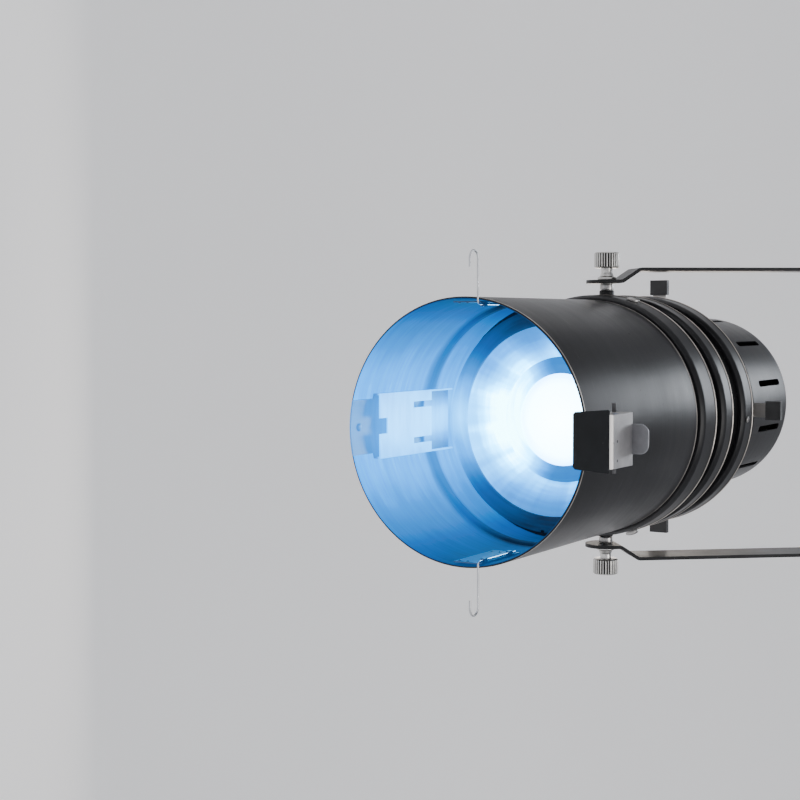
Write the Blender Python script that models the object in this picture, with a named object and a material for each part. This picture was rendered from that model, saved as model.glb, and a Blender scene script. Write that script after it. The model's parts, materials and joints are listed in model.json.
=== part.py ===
"""Ellipsoidal spotlight hanging in its yoke.

The world origin is the clamp-bolt hole in the top face of the yoke, +Z up. Everything below the
yoke is modelled in the head's own frame, whose origin is the tilt pivot: X is the tilt axis, the
beam leaves along -Y and +Z is the head's top side. An empty at the pivot tips that frame.
Depths are measured along the optical axis, backwards from the mouth of the barrel.
"""

from math import asin, copysign, cos, degrees, pi, radians, sin, sqrt

import bmesh
import bpy
from mathutils import Matrix, Vector

# Driving dimensions, in metres and degrees.
GAP = 0.0003  # air left between pieces that touch
SHEET = 0.0015
ROUND = 48  # sides of the large turned shells
FINE = 32  # sides of the inner turned pieces
SMALL = 16  # sides of screws, pins and bosses

YOKE_HEIGHT = 0.310  # top face of the yoke to the tilt axis
YOKE_WIDTH = 0.036
YOKE_THICKNESS = 0.003
ARM_PIVOT_X = 0.116  # centre of the strip at the pivot
ARM_UPPER_X = 0.1265  # centre of the strip above the joggle
JOGGLE_LOW, JOGGLE_HIGH = 0.010, 0.025
BEND_RADIUS = 0.007
CLAMP_HOLE_RADIUS = 0.0065
SIDE_HOLE_RADIUS = 0.0045
SIDE_HOLE_X = 0.040
STUD_RADIUS = 0.0036
REST_TILT = 39.0  # beam below the horizontal

PIVOT_DEPTH = 0.2555
BARREL_RADIUS = 0.100
BARREL_LENGTH = 0.216
SHELL_RADIUS = BARREL_RADIUS - SHEET - GAP
SHELL_FRONT, SHELL_REAR = 0.206, 0.353
SHELL_WALL = 0.0018
FLANGE_RADIUS = 0.101
BAND_RADIUS = 0.104
FRONT_BAND = (0.218, 0.2482)
MIDDLE_BAND = (0.2675, 0.289)
REAR_BAND = (0.317, 0.340)

CARRIAGE_RADIUS = 0.0925  # lens tube, outside
CARRIAGE_FRONT, CARRIAGE_REAR = 0.1445, 0.245
RING_INNER_RADIUS = 0.0786
CELL_RADIUS = 0.052
CELL_FRONT, CELL_REAR = 0.1655, 0.214
LENS_RADIUS = 0.050
CLEAR_RADIUS = 0.0385
LENS_STEPS = 5  # points along a lens's curve
FOCUS_DEPTH = 0.172
FOCUS_TRAVEL = 0.030

GATE_RADIUS, GATE_WALL = 0.074, 0.004
GATE_FRONT, GATE_REAR = SHELL_REAR + GAP, 0.3935
APERTURE_RADIUS = 0.038
BLADE_EDGE = 0.040
BLADE_HALF_WIDTH = 0.050
BLADE_PLANES = {"top": 0.3715, "bottom": 0.374, "left": 0.3765, "right": 0.379}
BLADE_TURNS = {"top": 0.0, "right": 90.0, "bottom": 180.0, "left": 270.0}
BLADE_THICKNESS = 0.001
NECK_WIDTH = 0.013
GRIP_START, GRIP_END = 0.106, 0.120
PATTERN_PLANE = 0.3615
PATTERN_HALF_WIDTH = 0.046

HOUSING_RADIUS = 0.084
HOUSING_FRONT, HOUSING_REAR = GATE_REAR + GAP, 0.512
FOCUS_NEAR, FOCUS_FAR = 0.482, 0.372  # depths of the ellipse's two foci: lamp and gate
REFLECTOR_APEX = 0.512
REFLECTOR_MOUTH = 0.398
REFLECTOR_HOLE = 0.0165
CAP_RADIUS, CAP_REAR = 0.062, 0.532
CAP_WALL = 0.002
SOCKET_FRONT, SOCKET_REAR = 0.500, 0.5255
LAMP_TRAVEL = 0.0032  # either way, as the knob behind the cap is turned

LATCH_PIN = (0.006, 0.118)  # depth and height of the latch's hinge pin
LATCH_TOP = 0.1305
LATCH_FRONT = -0.025
LATCH_BACK = 0.0075
HOOK_OFFSET = 0.014
HOOK_LEG_X = 0.0945
WIRE_RADIUS = 0.0008
SCREW_SIDES = 12

MATERIALS = {
    # name: base colour, roughness, metallic
    "black_paint": ((0.022, 0.022, 0.024), 0.42, 0.0),
    "matt_black": ((0.012, 0.012, 0.013), 0.75, 0.0),
    "bare_steel": ((0.62, 0.60, 0.57), 0.34, 1.0),
    "spring_steel": ((0.50, 0.51, 0.53), 0.28, 1.0),
    "spun_aluminium": ((0.80, 0.84, 0.90), 0.25, 1.0),
    "zinc_sheet": ((0.55, 0.54, 0.52), 0.45, 1.0),
    "lens_glass": ((0.90, 0.95, 1.00), 0.05, 0.0),
    "ceramic": ((0.85, 0.83, 0.78), 0.55, 0.0),
    "grip_plastic": ((0.02, 0.02, 0.02), 0.55, 0.0),
}

AXIS_BASE = (0.0, -PIVOT_DEPTH, 0.0)
BACKWARD = (0.0, 1.0, 0.0)
SIDES = {"left": -1, "right": 1}
# Outlines drawn flat: UPRIGHT stands them across the beam, TO_SIDE across the tilt axis.
UPRIGHT = Matrix(((1, 0, 0, 0), (0, 0, 1, 0), (0, 1, 0, 0), (0, 0, 0, 1)))
TO_SIDE = Matrix(((0, 0, 1, 0), (1, 0, 0, 0), (0, 1, 0, 0), (0, 0, 0, 1)))


def clear_scene():
    for item in list(bpy.data.objects):
        bpy.data.objects.remove(item, do_unlink=True)


def make_material(name):
    colour, roughness, metallic = MATERIALS[name]
    material = bpy.data.materials.new(name)
    material.use_nodes = True
    shader = material.node_tree.nodes["Principled BSDF"]
    shader.inputs["Base Color"].default_value = (*colour, 1.0)
    shader.inputs["Roughness"].default_value = roughness
    shader.inputs["Metallic"].default_value = metallic
    return material


def pose_point(name, place, parent=None, tilt=0.0):
    """An empty on a joint's axis. `place` is in the head's frame, or the world's for the pivot."""
    point = bpy.data.objects.new(name, None)
    bpy.context.scene.collection.objects.link(point)
    point["place"] = place
    point.parent = parent
    offset = Vector(parent["place"]) if parent and not parent.get("is_pivot") else Vector()
    point.location = Vector(place) - offset
    point.rotation_euler = (radians(tilt), 0, 0)
    point["is_pivot"] = parent is None
    return point


def make_piece(name, shape, material, parent):
    bmesh.ops.remove_doubles(shape, verts=shape.verts, dist=1e-6)
    bmesh.ops.recalc_face_normals(shape, faces=shape.faces)
    mesh = bpy.data.meshes.new(name)
    shape.to_mesh(mesh)
    shape.free()
    mesh.shade_smooth()
    mesh.set_sharp_from_angle(angle=radians(35))
    if material:
        mesh.materials.append(material)
    piece = bpy.data.objects.new(name, mesh)
    bpy.context.scene.collection.objects.link(piece)
    piece.parent = parent
    if parent and not parent["is_pivot"]:
        piece.location = -Vector(parent["place"])
    return piece


def change_piece(piece, shape, operation):
    """Cuts `shape` out of a piece, or joins it on."""
    tool = make_piece(f"{piece.name}_{operation.lower()}", shape, None, piece.parent)
    tool.hide_render = True
    tool.display_type = "WIRE"
    modifier = piece.modifiers.new(tool.name, "BOOLEAN")
    modifier.operation = operation
    modifier.object = tool


def cut(piece, shape):
    change_piece(piece, shape, "DIFFERENCE")


def join(piece, shape):
    change_piece(piece, shape, "UNION")


def placing(base, direction):
    """The matrix that takes +Z to `direction` and the origin to `base`."""
    turn = Vector(direction).to_track_quat("Z", "Y").to_matrix().to_4x4()
    return Matrix.Translation(base) @ turn


def turned(outline, base=AXIS_BASE, direction=BACKWARD, sides=ROUND, knurl=None):
    """A lathe shape. `outline` lists (distance along the axis, radius).

    It is closed on itself unless both of its ends lie on the axis. `knurl` is (from, to, depth):
    between those distances every second point of the rim is sunk by that depth.
    """
    shape = bmesh.new()
    points = [shape.verts.new((radius, 0, along)) for along, radius in outline]
    edges = [shape.edges.new(pair) for pair in zip(points, points[1:])]
    if outline[0][1] > 0 or outline[-1][1] > 0:
        edges.append(shape.edges.new((points[-1], points[0])))
    bmesh.ops.spin(shape, geom=points + edges, axis=(0, 0, 1), cent=(0, 0, 0),
                   angle=2 * pi, steps=sides, use_merge=True)
    bmesh.ops.remove_doubles(shape, verts=shape.verts, dist=1e-6)
    if knurl:
        sink_flutes(shape, *knurl)
    shape.transform(placing(base, direction))
    return shape


def sink_flutes(shape, start, end, depth):
    rim = [v for v in shape.verts if start - 1e-6 < v.co.z < end + 1e-6 and v.co.xy.length > depth]
    widest = max(v.co.xy.length for v in rim)
    rim = [v for v in rim if v.co.xy.length > widest - 1e-5]
    rim.sort(key=lambda v: (round(v.co.z, 6), round(v.co.xy.angle_signed(Vector((1, 0))), 4)))
    for sunk in rim[::2]:
        sunk.co.xy *= (widest - depth) / widest


def prism(outline, length, matrix=Matrix()):
    """A flat outline in the XY plane, extruded by `length` along +Z, then placed by `matrix`."""
    shape = bmesh.new()
    face = shape.faces.new([shape.verts.new((x, y, 0)) for x, y in outline])
    grown = bmesh.ops.extrude_face_region(shape, geom=[face])
    moved = [item for item in grown["geom"] if isinstance(item, bmesh.types.BMVert)]
    bmesh.ops.translate(shape, verts=moved, vec=(0, 0, length))
    shape.transform(matrix)
    return shape


def box(low, high, matrix=Matrix()):
    (x0, y0, z0), (x1, y1, z1) = low, high
    outline = [(x0, y0), (x1, y0), (x1, y1), (x0, y1)]
    return prism(outline, z1 - z0, matrix @ Matrix.Translation((0, 0, z0)))


def rod(start, end, radius, sides=SMALL):
    """A plain round bar between two points, also used as a drill."""
    start, end = Vector(start), Vector(end)
    outline = [(0, 0), (0, radius), ((end - start).length, radius), ((end - start).length, 0)]
    return turned(outline, start, end - start, sides)


def merged(shapes):
    """Several shapes that don't touch, as one cutter."""
    whole = bmesh.new()
    for shape in shapes:
        mesh = bpy.data.meshes.new("scratch")
        shape.to_mesh(mesh)
        shape.free()
        whole.from_mesh(mesh)
        bpy.data.meshes.remove(mesh)
    return whole


def arc(centre, radius, start, end, steps):
    """Points on a circle, from one angle in degrees to another."""
    angles = [radians(start + (end - start) * i / steps) for i in range(steps + 1)]
    return [(centre[0] + radius * cos(a), centre[1] + radius * sin(a)) for a in angles]


def strip_outline(path, thickness):
    """The closed outline of a bent strip whose middle follows `path`."""
    left, right = [], []
    for i, point in enumerate(path):
        here = Vector(point)
        before = (here - Vector(path[i - 1])).normalized() if i else None
        after = (Vector(path[i + 1]) - here).normalized() if i + 1 < len(path) else None
        along = ((before or after) + (after or before)).normalized()
        across = Vector((-along.y, along.x))
        reach = thickness / 2 / max(along.dot(after or before), 0.3)
        left.append(here + across * reach)
        right.append(here - across * reach)
    return left + right[::-1]


def depth_y(depth):
    return depth - PIVOT_DEPTH


def on_rim(depth, radius, degrees):
    """A head point at an angle round the axis: 0 is the right side (+X), 90 the top."""
    angle = radians(degrees)
    return Vector((radius * cos(angle), depth_y(depth), radius * sin(angle)))


def out_from(degrees):
    angle = radians(degrees)
    return Vector((cos(angle), 0, sin(angle)))


def about_beam(degrees):
    """Turns a shape drawn for the top side round the optical axis."""
    return Matrix.Rotation(radians(degrees), 4, "Y")


def add_yoke(materials):
    top = -YOKE_THICKNESS / 2
    low = -YOKE_HEIGHT
    corner = BEND_RADIUS
    right = [
        *arc((ARM_UPPER_X - corner, top - corner), corner, 90, 0, 4),
        (ARM_UPPER_X, low + JOGGLE_HIGH),
        (ARM_PIVOT_X, low + JOGGLE_LOW),
        (ARM_PIVOT_X, low - YOKE_WIDTH / 2),
    ]
    path = [(-x, z) for x, z in reversed(right)] + right
    shape = prism(strip_outline(path, YOKE_THICKNESS), YOKE_WIDTH,
                  Matrix.Translation((0, -YOKE_WIDTH / 2, 0)) @ UPRIGHT)
    yoke = make_piece("yoke_frame", shape, materials["black_paint"], None)

    half, far = YOKE_WIDTH / 2, YOKE_WIDTH * 0.75
    ends = arc((0, 0), half, 180, 360, 12) + [(far, 0), (far, -far), (-far, -far), (-far, 0)]
    cut(yoke, prism(ends, 0.30, Matrix.Translation((-0.15, 0, low)) @ TO_SIDE))
    eye = rod((-0.15, 0, low), (0.15, 0, low), STUD_RADIUS + 2 * GAP)
    below, above = -0.01, 0.01
    holes = [rod((x, 0, below), (x, 0, above), radius) for x, radius in (
        (0, CLAMP_HOLE_RADIUS), (-SIDE_HOLE_X, SIDE_HOLE_RADIUS), (SIDE_HOLE_X, SIDE_HOLE_RADIUS))]
    cut(yoke, merged([eye, *holes]))


def add_pivots(materials, head):
    """Bosses, spacers and tilt knobs, outwards from the housing on both sides."""
    arm_in = ARM_PIVOT_X - YOKE_THICKNESS / 2 - GAP
    arm_out = ARM_PIVOT_X + YOKE_THICKNESS / 2 + GAP
    bore = STUD_RADIUS + GAP
    spacer_in = 0.109
    stud_in, washer_out, neck_in, grip_in, grip_out = 0.100, 0.1205, 0.124, 0.128, 0.142
    chamfer = 0.001
    for side, sign in SIDES.items():
        out = (sign, 0, 0)
        boss = [(SHELL_RADIUS + GAP, 0.0065), (spacer_in - GAP, 0.0065), (spacer_in - GAP, bore),
                (SHELL_RADIUS + GAP, bore)]
        make_piece(f"pivot_boss_{side}", turned(boss, (0, 0, 0), out, SMALL),
                   materials["black_paint"], head)
        spacer = [(spacer_in, 0.006), (arm_in, 0.006), (arm_in, bore), (spacer_in, bore)]
        make_piece(f"pivot_spacer_{side}", turned(spacer, (0, 0, 0), out, SMALL),
                   materials["bare_steel"], head)
        hinge = pose_point(f"tilt_knob_{side}_turn", (sign * 0.13, 0, 0), head)
        knob = bar_outline([(stud_in, arm_out, STUD_RADIUS), (arm_out, washer_out, 0.008),
                            (neck_in, grip_in, 0.0048), (grip_in, grip_out, 0.011)], chamfer)
        make_piece(f"tilt_knob_{side}",
                   turned(knob, (0, 0, 0), out, 40,
                          knurl=(grip_in + chamfer, grip_out - chamfer, 0.0007)),
                   materials["bare_steel"], hinge)


def band_outline(front, rear):
    """A rolled sheet ring: flange at the front, raised bead at the rear edge."""
    inner = SHELL_RADIUS + GAP
    return [(front, inner), (front, 0.1014), (front + 0.006, BAND_RADIUS),
            (rear - 0.0016, BAND_RADIUS), (rear - 0.0008, BAND_RADIUS + 0.0008), (rear, BAND_RADIUS),
            (rear, BAND_RADIUS - 0.0014), (front + 0.006, BAND_RADIUS - 0.0014),
            (front + 0.0014, inner)]


def bar_outline(stages, chamfer):
    """A stepped round bar. Each stage is (start, end, radius); the last one has its edges broken."""
    points = [(stages[0][0], 0)]
    for start, end, radius in stages[:-1]:
        points += [(start, radius), (end, radius)]
    start, end, radius = stages[-1]
    return points + [(start, radius - chamfer), (start + chamfer, radius), (end - chamfer, radius),
                     (end, radius - chamfer), (end, 0)]


def screw_outline(seat, head_radius, head_height, stem_radius, stem_end):
    """A pan-head screw along a radius: the stem runs inwards from its seat."""
    return [(stem_end, 0), (stem_end, stem_radius), (seat, stem_radius), (seat, head_radius),
            (seat + head_height * 0.6, head_radius), (seat + head_height, head_radius * 0.6),
            (seat + head_height, 0)]


def add_housing(materials, head):
    shell = [(SHELL_FRONT, SHELL_RADIUS - SHELL_WALL), (SHELL_FRONT, SHELL_RADIUS),
             (SHELL_REAR - 0.004, SHELL_RADIUS), (SHELL_REAR - 0.004, FLANGE_RADIUS),
             (SHELL_REAR, FLANGE_RADIUS), (SHELL_REAR, GATE_RADIUS - GATE_WALL),
             (SHELL_REAR - 0.002, GATE_RADIUS - GATE_WALL),
             (SHELL_REAR - 0.002, SHELL_RADIUS - SHELL_WALL)]
    shell = make_piece("housing_shell", turned(shell), materials["black_paint"], head)
    bands = {"front": FRONT_BAND, "middle": MIDDLE_BAND, "rear": REAR_BAND}
    pieces = {name: make_piece(f"{name}_vent_band", turned(band_outline(*ends)),
                               materials["black_paint"], head) for name, ends in bands.items()}

    depth, hole, seat = 0.236, 0.0025, BAND_RADIUS + GAP
    places = {"left": 180 - 18, "right": 18}
    shell_inside, outside = SHELL_RADIUS - 0.006, BAND_RADIUS + 0.006
    for target in (shell, pieces["front"]):
        cut(target, merged([rod(on_rim(depth, shell_inside, a), on_rim(depth, outside, a), hole,
                                SCREW_SIDES)
                            for a in places.values()]))
    screw = screw_outline(seat, 0.0055, 0.0036, hole - GAP, SHELL_RADIUS - SHELL_WALL)
    for side, angle in places.items():
        shape = turned(screw, on_rim(depth, 0, angle), out_from(angle), SMALL)
        make_piece(f"housing_screw_{side}", shape, materials["bare_steel"], head)

    depth, angle, hole = 0.325, 87.0, 0.0015
    cut(pieces["rear"], rod(on_rim(depth, SHELL_RADIUS + GAP, angle),
                            on_rim(depth, outside, angle), hole, SCREW_SIDES))
    screw = screw_outline(seat, 0.0026, 0.0016, hole - GAP, SHELL_RADIUS + GAP)
    make_piece("rear_band_screw", turned(screw, on_rim(depth, 0, angle), out_from(angle), SCREW_SIDES),
               materials["bare_steel"], head)


def add_barrel(materials, head):
    inner = BARREL_RADIUS - SHEET
    outline = [(0, inner), (0, BARREL_RADIUS), (BARREL_LENGTH, BARREL_RADIUS),
               (BARREL_LENGTH, inner)]
    barrel = make_piece("lens_barrel", turned(outline), materials["black_paint"], head)
    clear = 0.0036
    cut(barrel, box((-clear, depth_y(FOCUS_DEPTH) - clear, -BARREL_RADIUS - 0.01),
                    (clear, depth_y(FOCUS_DEPTH + FOCUS_TRAVEL) + clear, -inner + 0.006)))
    ring = [(0.110, inner - GAP), (0.118, inner - GAP), (0.117, 0.0964), (0.114, 0.0954),
            (0.111, 0.0964)]
    ring = make_piece("lens_stop_ring", turned(ring), materials["black_paint"], head)
    cut(ring, box((-0.027, depth_y(0.10), -0.11), (0.027, depth_y(0.13), -0.08)))


def dome(rim_depth, radius, bulge):
    """A convex face, from its middle to its rim. A positive bulge swells forwards."""
    sphere = (radius ** 2 + bulge ** 2) / (2 * abs(bulge))
    points = []
    for i in range(LENS_STEPS + 1):
        at = radius * i / LENS_STEPS
        sag = sphere - sqrt(sphere ** 2 - at ** 2)
        points.append((rim_depth - bulge + copysign(sag, bulge), at))
    return points


def add_lens_group(materials, head):
    """Everything that slides on the optical axis when the lamp is focused."""
    slide = pose_point("focus_slide", AXIS_BASE, head)
    paint, glass = materials["matt_black"], materials["lens_glass"]
    wall = CARRIAGE_RADIUS - SHEET

    def part(name, outline, material, sides=FINE):
        return make_piece(name, turned(outline, sides=sides), material, slide)

    front = CARRIAGE_FRONT + 0.0025
    ring = part("lens_retaining_ring", [
        (CARRIAGE_FRONT, RING_INNER_RADIUS), (CARRIAGE_FRONT, CARRIAGE_RADIUS),
        (front, CARRIAGE_RADIUS), (front, RING_INNER_RADIUS)], paint, ROUND)
    notch = box((-0.002, depth_y(0.14), CARRIAGE_RADIUS - 0.002),
                (0.002, depth_y(0.15), CARRIAGE_RADIUS + 0.01), about_beam(94.5))
    cut(ring, notch)
    tube = part("lens_tube", [(front + GAP, wall), (front + GAP, CARRIAGE_RADIUS),
                              (CARRIAGE_REAR, CARRIAGE_RADIUS), (CARRIAGE_REAR, wall)], paint)
    cut(tube, rod((0, depth_y(FOCUS_DEPTH), -0.08), (0, depth_y(FOCUS_DEPTH), -0.10), 0.0031))

    bowl = [(front + GAP, wall - GAP), (front + GAP, 0.0790), (0.1505, 0.0735), (0.1550, 0.0665),
            (0.1605, 0.0595), (0.1680, CELL_RADIUS + GAP)]
    back = [(depth + 0.0012, radius + 0.0006) for depth, radius in reversed(bowl[1:])]
    back.append((front + GAP + 0.0012, wall - GAP))
    part("spun_baffle", bowl + back, materials["spun_aluminium"])

    cell_wall = CELL_RADIUS - SHEET
    part("lens_cell", [
        (CELL_FRONT, CLEAR_RADIUS), (CELL_FRONT, CELL_RADIUS), (CELL_REAR, CELL_RADIUS),
        (CELL_REAR, cell_wall), (CELL_FRONT + 0.002, cell_wall),
        (CELL_FRONT + 0.002, CLEAR_RADIUS)], paint)
    seat = CELL_FRONT + 0.002 + GAP
    rim = 0.004
    front_back = seat + rim
    part("front_lens", dome(seat, CLEAR_RADIUS - GAP, 0.0085)
         + [(seat, LENS_RADIUS), (front_back, LENS_RADIUS), (front_back, 0)], glass)
    spacer_end = front_back + 0.016
    ring_wall = 0.0045
    part("lens_spacer", [
        (front_back + GAP, LENS_RADIUS - ring_wall), (front_back + GAP, LENS_RADIUS),
        (spacer_end, LENS_RADIUS), (spacer_end, LENS_RADIUS - ring_wall)], paint)
    rear_front = spacer_end + GAP
    rear_back = rear_front + rim
    part("rear_lens", [(rear_front, 0), (rear_front, LENS_RADIUS), (rear_back, LENS_RADIUS)]
         + dome(rear_back, LENS_RADIUS - 0.006, -0.0105)[::-1], glass)
    lock = rear_back + 2 * GAP
    part("lens_lock_ring", [
        (lock, LENS_RADIUS - ring_wall), (lock, LENS_RADIUS), (lock + 0.005, LENS_RADIUS),
        (lock + 0.005, LENS_RADIUS - ring_wall)], materials["zinc_sheet"])
    part("lens_bulkhead", [
        (0.200, CELL_RADIUS + GAP), (0.200, wall - GAP), (0.202, wall - GAP),
        (0.202, CELL_RADIUS + GAP)], paint)

    inside_barrel = BARREL_RADIUS - SHEET - GAP
    inside_shell = SHELL_RADIUS - SHELL_WALL - GAP
    for name, start, end, outer in (("front", 0.158, 0.163, inside_barrel),
                                    ("rear", 0.230, 0.235, inside_shell)):
        part(f"guide_ring_{name}", [
            (start, CARRIAGE_RADIUS + GAP), (start, outer), (end, outer),
            (end, CARRIAGE_RADIUS + GAP)], materials["grip_plastic"])

    turn = pose_point("focus_knob_turn", (0, depth_y(FOCUS_DEPTH), -0.105), slide)
    seat = BARREL_RADIUS + GAP
    stud_in, washer_out, grip_in, grip_out, chamfer = 0.0893, 0.1018, 0.1035, 0.1145, 0.001
    knob = bar_outline([(stud_in, seat, 0.0028), (seat, washer_out, 0.0075),
                        (washer_out, grip_in, 0.0060), (grip_in, grip_out, 0.0090)], chamfer)
    make_piece("focus_knob", turned(knob, (0, depth_y(FOCUS_DEPTH), 0), (0, 0, -1), 32,
                                    knurl=(grip_in + chamfer, grip_out - chamfer, 0.0006)),
               materials["bare_steel"], turn)


def add_latch(materials, head):
    """The sprung clip on top of the mouth: it keeps a colour frame in and tips up to free it."""
    pin_y, pin_z = depth_y(LATCH_PIN[0]), LATCH_PIN[1]
    front, back = depth_y(LATCH_FRONT), depth_y(LATCH_BACK)
    steel = materials["zinc_sheet"]
    bore, ear_in, ear_out = 0.0018, 0.0145, 0.016

    base = box((-ear_out, depth_y(0.001), BARREL_RADIUS + GAP),
               (ear_out, depth_y(0.016), BARREL_RADIUS + GAP + 0.0012))
    bracket = make_piece("latch_bracket", base, steel, head)
    ear = arc((pin_y, pin_z), 0.0045, 0, 180, 8) + [
        (depth_y(0.001), BARREL_RADIUS + GAP), (depth_y(0.012), BARREL_RADIUS + GAP)]
    for sign in (-1, 1):
        start = ear_in if sign > 0 else -ear_out
        join(bracket, prism(ear, ear_out - ear_in, Matrix.Translation((start, 0, 0)) @ TO_SIDE))
    cut(bracket, rod((-0.02, pin_y, pin_z), (0.02, pin_y, pin_z), bore, SCREW_SIDES))
    make_piece("latch_pin", rod((-0.0245, pin_y, pin_z), (0.0245, pin_y, pin_z), 0.0015, SCREW_SIDES),
               materials["bare_steel"], head)

    hinge = pose_point("latch_hinge", (0, pin_y, pin_z), head)
    lip_low, lip_half, lip_half_top, corner = 0.101, 0.0198, 0.0218, 0.002
    lip = [(-lip_half, lip_low + corner), (-lip_half + corner, lip_low),
           (lip_half - corner, lip_low), (lip_half, lip_low + corner),
           (lip_half_top, LATCH_TOP), (-lip_half_top, LATCH_TOP)]
    latch = make_piece("gel_latch", prism(lip, SHEET, Matrix.Translation((0, front, 0)) @ UPRIGHT),
                       steel, hinge)
    web_half = 0.0185
    join(latch, box((-web_half, front + SHEET / 2, LATCH_TOP - SHEET),
                    (web_half, back, LATCH_TOP)))
    tab_half, tab_top = 0.0105, LATCH_TOP + 0.012
    round_off = 0.006
    tab = [(-tab_half, LATCH_TOP - SHEET / 2), (tab_half, LATCH_TOP - SHEET / 2)]
    tab += arc((tab_half - round_off, tab_top - round_off), round_off, 0, 90, 4)
    tab += arc((-tab_half + round_off, tab_top - round_off), round_off, 90, 180, 4)
    tab_y = back - SHEET
    join(latch, prism(tab, SHEET, Matrix.Translation((0, tab_y, 0)) @ UPRIGHT))
    flange_in, flange_out = 0.0168, web_half
    flange = arc((pin_y, pin_z), 0.0045, 180, 360, 8) + [
        (back, LATCH_TOP - SHEET / 2), (pin_y - 0.014, LATCH_TOP - SHEET / 2)]
    for sign in (-1, 1):
        start = flange_in if sign > 0 else -flange_out
        join(latch, prism(flange, flange_out - flange_in,
                          Matrix.Translation((start, 0, 0)) @ TO_SIDE))
    cut(latch, rod((-0.02, pin_y, pin_z), (0.02, pin_y, pin_z), bore, SCREW_SIDES))
    add_latch_spring(materials, head, pin_y, pin_z)


def add_latch_spring(materials, head, pin_y, pin_z):
    """A torsion spring wound round the hinge pin, made as a poly curve."""
    turns, per_turn, pitch, coil = 5, 10, 0.0026, 0.0030
    curve = bpy.data.curves.new("latch_spring", "CURVE")
    curve.dimensions = "3D"
    curve.bevel_depth = 0.0005
    curve.bevel_resolution = 0
    curve.use_fill_caps = True
    spline = curve.splines.new("POLY")
    count = turns * per_turn + 1
    spline.points.add(count - 1)
    for i in range(count):
        angle = 2 * pi * i / per_turn
        x = pitch * (i / per_turn - turns / 2)
        spline.points[i].co = (x, pin_y + coil * cos(angle), pin_z + coil * sin(angle), 1)
    curve.materials.append(materials["spring_steel"])
    spring = bpy.data.objects.new("latch_spring", curve)
    bpy.context.scene.collection.objects.link(spring)
    spring.parent = head


def add_lower_guide(materials, head):
    """The folded channel inside the bottom of the mouth."""
    wall = BARREL_RADIUS - SHEET - GAP
    floor = 0.0012
    front, plate_start, plate_end, rear = -0.0025, 0.026, 0.104, 0.139
    plate_top, plate_half, side = 0.0885, 0.0255, 0.0013
    foot_half = 0.0215

    def floor_sector(start, end, half_width):
        half = degrees(asin(half_width / wall))
        outline = arc((0, 0), wall, 270 - half, 270 + half, 8)
        outline += arc((0, 0), wall - floor, 270 + half, 270 - half, 8)
        return prism(outline, end - start, Matrix.Translation((0, depth_y(start), 0)) @ UPRIGHT)

    guide = make_piece("lower_guide", floor_sector(plate_start, rear, plate_half - 0.0002),
                       materials["zinc_sheet"], head)
    join(guide, floor_sector(front, plate_start + 0.004, foot_half))
    for sign in (-1, 1):
        outer = sign * plate_half
        inner = sign * (plate_half - side)
        low, high = min(outer, inner), max(outer, inner)
        join(guide, box((low, depth_y(plate_start), -wall + 0.0036),
                        (high, depth_y(rear - 0.0005), -plate_top)))
    plate = box((-plate_half + 0.0002, depth_y(plate_start), -plate_top - 0.0012),
                (plate_half - 0.0002, depth_y(plate_end), -plate_top))
    join(guide, plate)
    ledge = plate_top + 0.0045
    join(guide, box((-plate_half + 0.0002, depth_y(plate_end - 0.004), -ledge - 0.0012),
                    (plate_half - 0.0002, depth_y(rear - 0.0005), -ledge)))
    slots = [box((sign * 0.0145 - 0.0025, depth_y(0.076), -plate_top - 0.0030),
                 (sign * 0.0145 + 0.0025, depth_y(plate_end + 0.001), -plate_top + 0.002))
             for sign in (-1, 1)]
    notch = box((-0.0062, depth_y(plate_start - 0.002), -plate_top - 0.0030),
                (0.0062, depth_y(plate_start + 0.011), -plate_top + 0.002))
    cut(guide, merged([*slots, notch]))
    rivet = [(-wall + floor / 2, 0), (-wall + floor / 2, 0.0032), (-wall + floor + 0.0004, 0.0032),
             (-wall + floor + 0.0013, 0.0018), (-wall + floor + 0.0015, 0)]
    join(guide, turned(rivet, (0, depth_y(0.0085), 0), (0, 0, 1), SCREW_SIDES))


def add_hooks(materials, head):
    """Wire side guides for the frame, each in a riveted plate inside the mouth."""
    for side, sign in SIDES.items():
        leg_x = sign * HOOK_LEG_X
        plate_in, plate_out = 0.0956, 0.0966
        low, high = sorted((sign * plate_in, sign * plate_out))
        shape = box((low, depth_y(0.001), -0.008), (high, depth_y(0.062), HOOK_OFFSET + 0.0015))
        plate = make_piece(f"hook_plate_{side}", shape, materials["zinc_sheet"], head)
        keeper_in, keeper_out = 0.0927, plate_in + 0.0004
        low, high = sorted((sign * keeper_in, sign * keeper_out))
        for start in (0.006, 0.046):
            join(plate, box((low, depth_y(start), HOOK_OFFSET - 0.0023),
                            (high, depth_y(start + 0.005), HOOK_OFFSET + 0.0013)))
        cut(plate, rod((leg_x, depth_y(-0.01), HOOK_OFFSET), (leg_x, depth_y(0.07), HOOK_OFFSET),
                       WIRE_RADIUS + GAP, 10))
        for depth in (0.004, 0.054):
            for across in (-0.0045, 0.0025):
                base = (sign * (plate_in + 0.0005), depth_y(depth), across)
                head_shape = [(0, 0), (0, 0.0013), (0.0009, 0.0011), (0.0013, 0.0005), (0.0013, 0)]
                join(plate, turned(head_shape, base, (-sign, 0, 0), 8))
        hinge = pose_point(f"wire_hook_{side}_swing", (leg_x, depth_y(0.0), HOOK_OFFSET), head)
        add_wire(f"wire_hook_{side}", sign, materials["spring_steel"], hinge)


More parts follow.
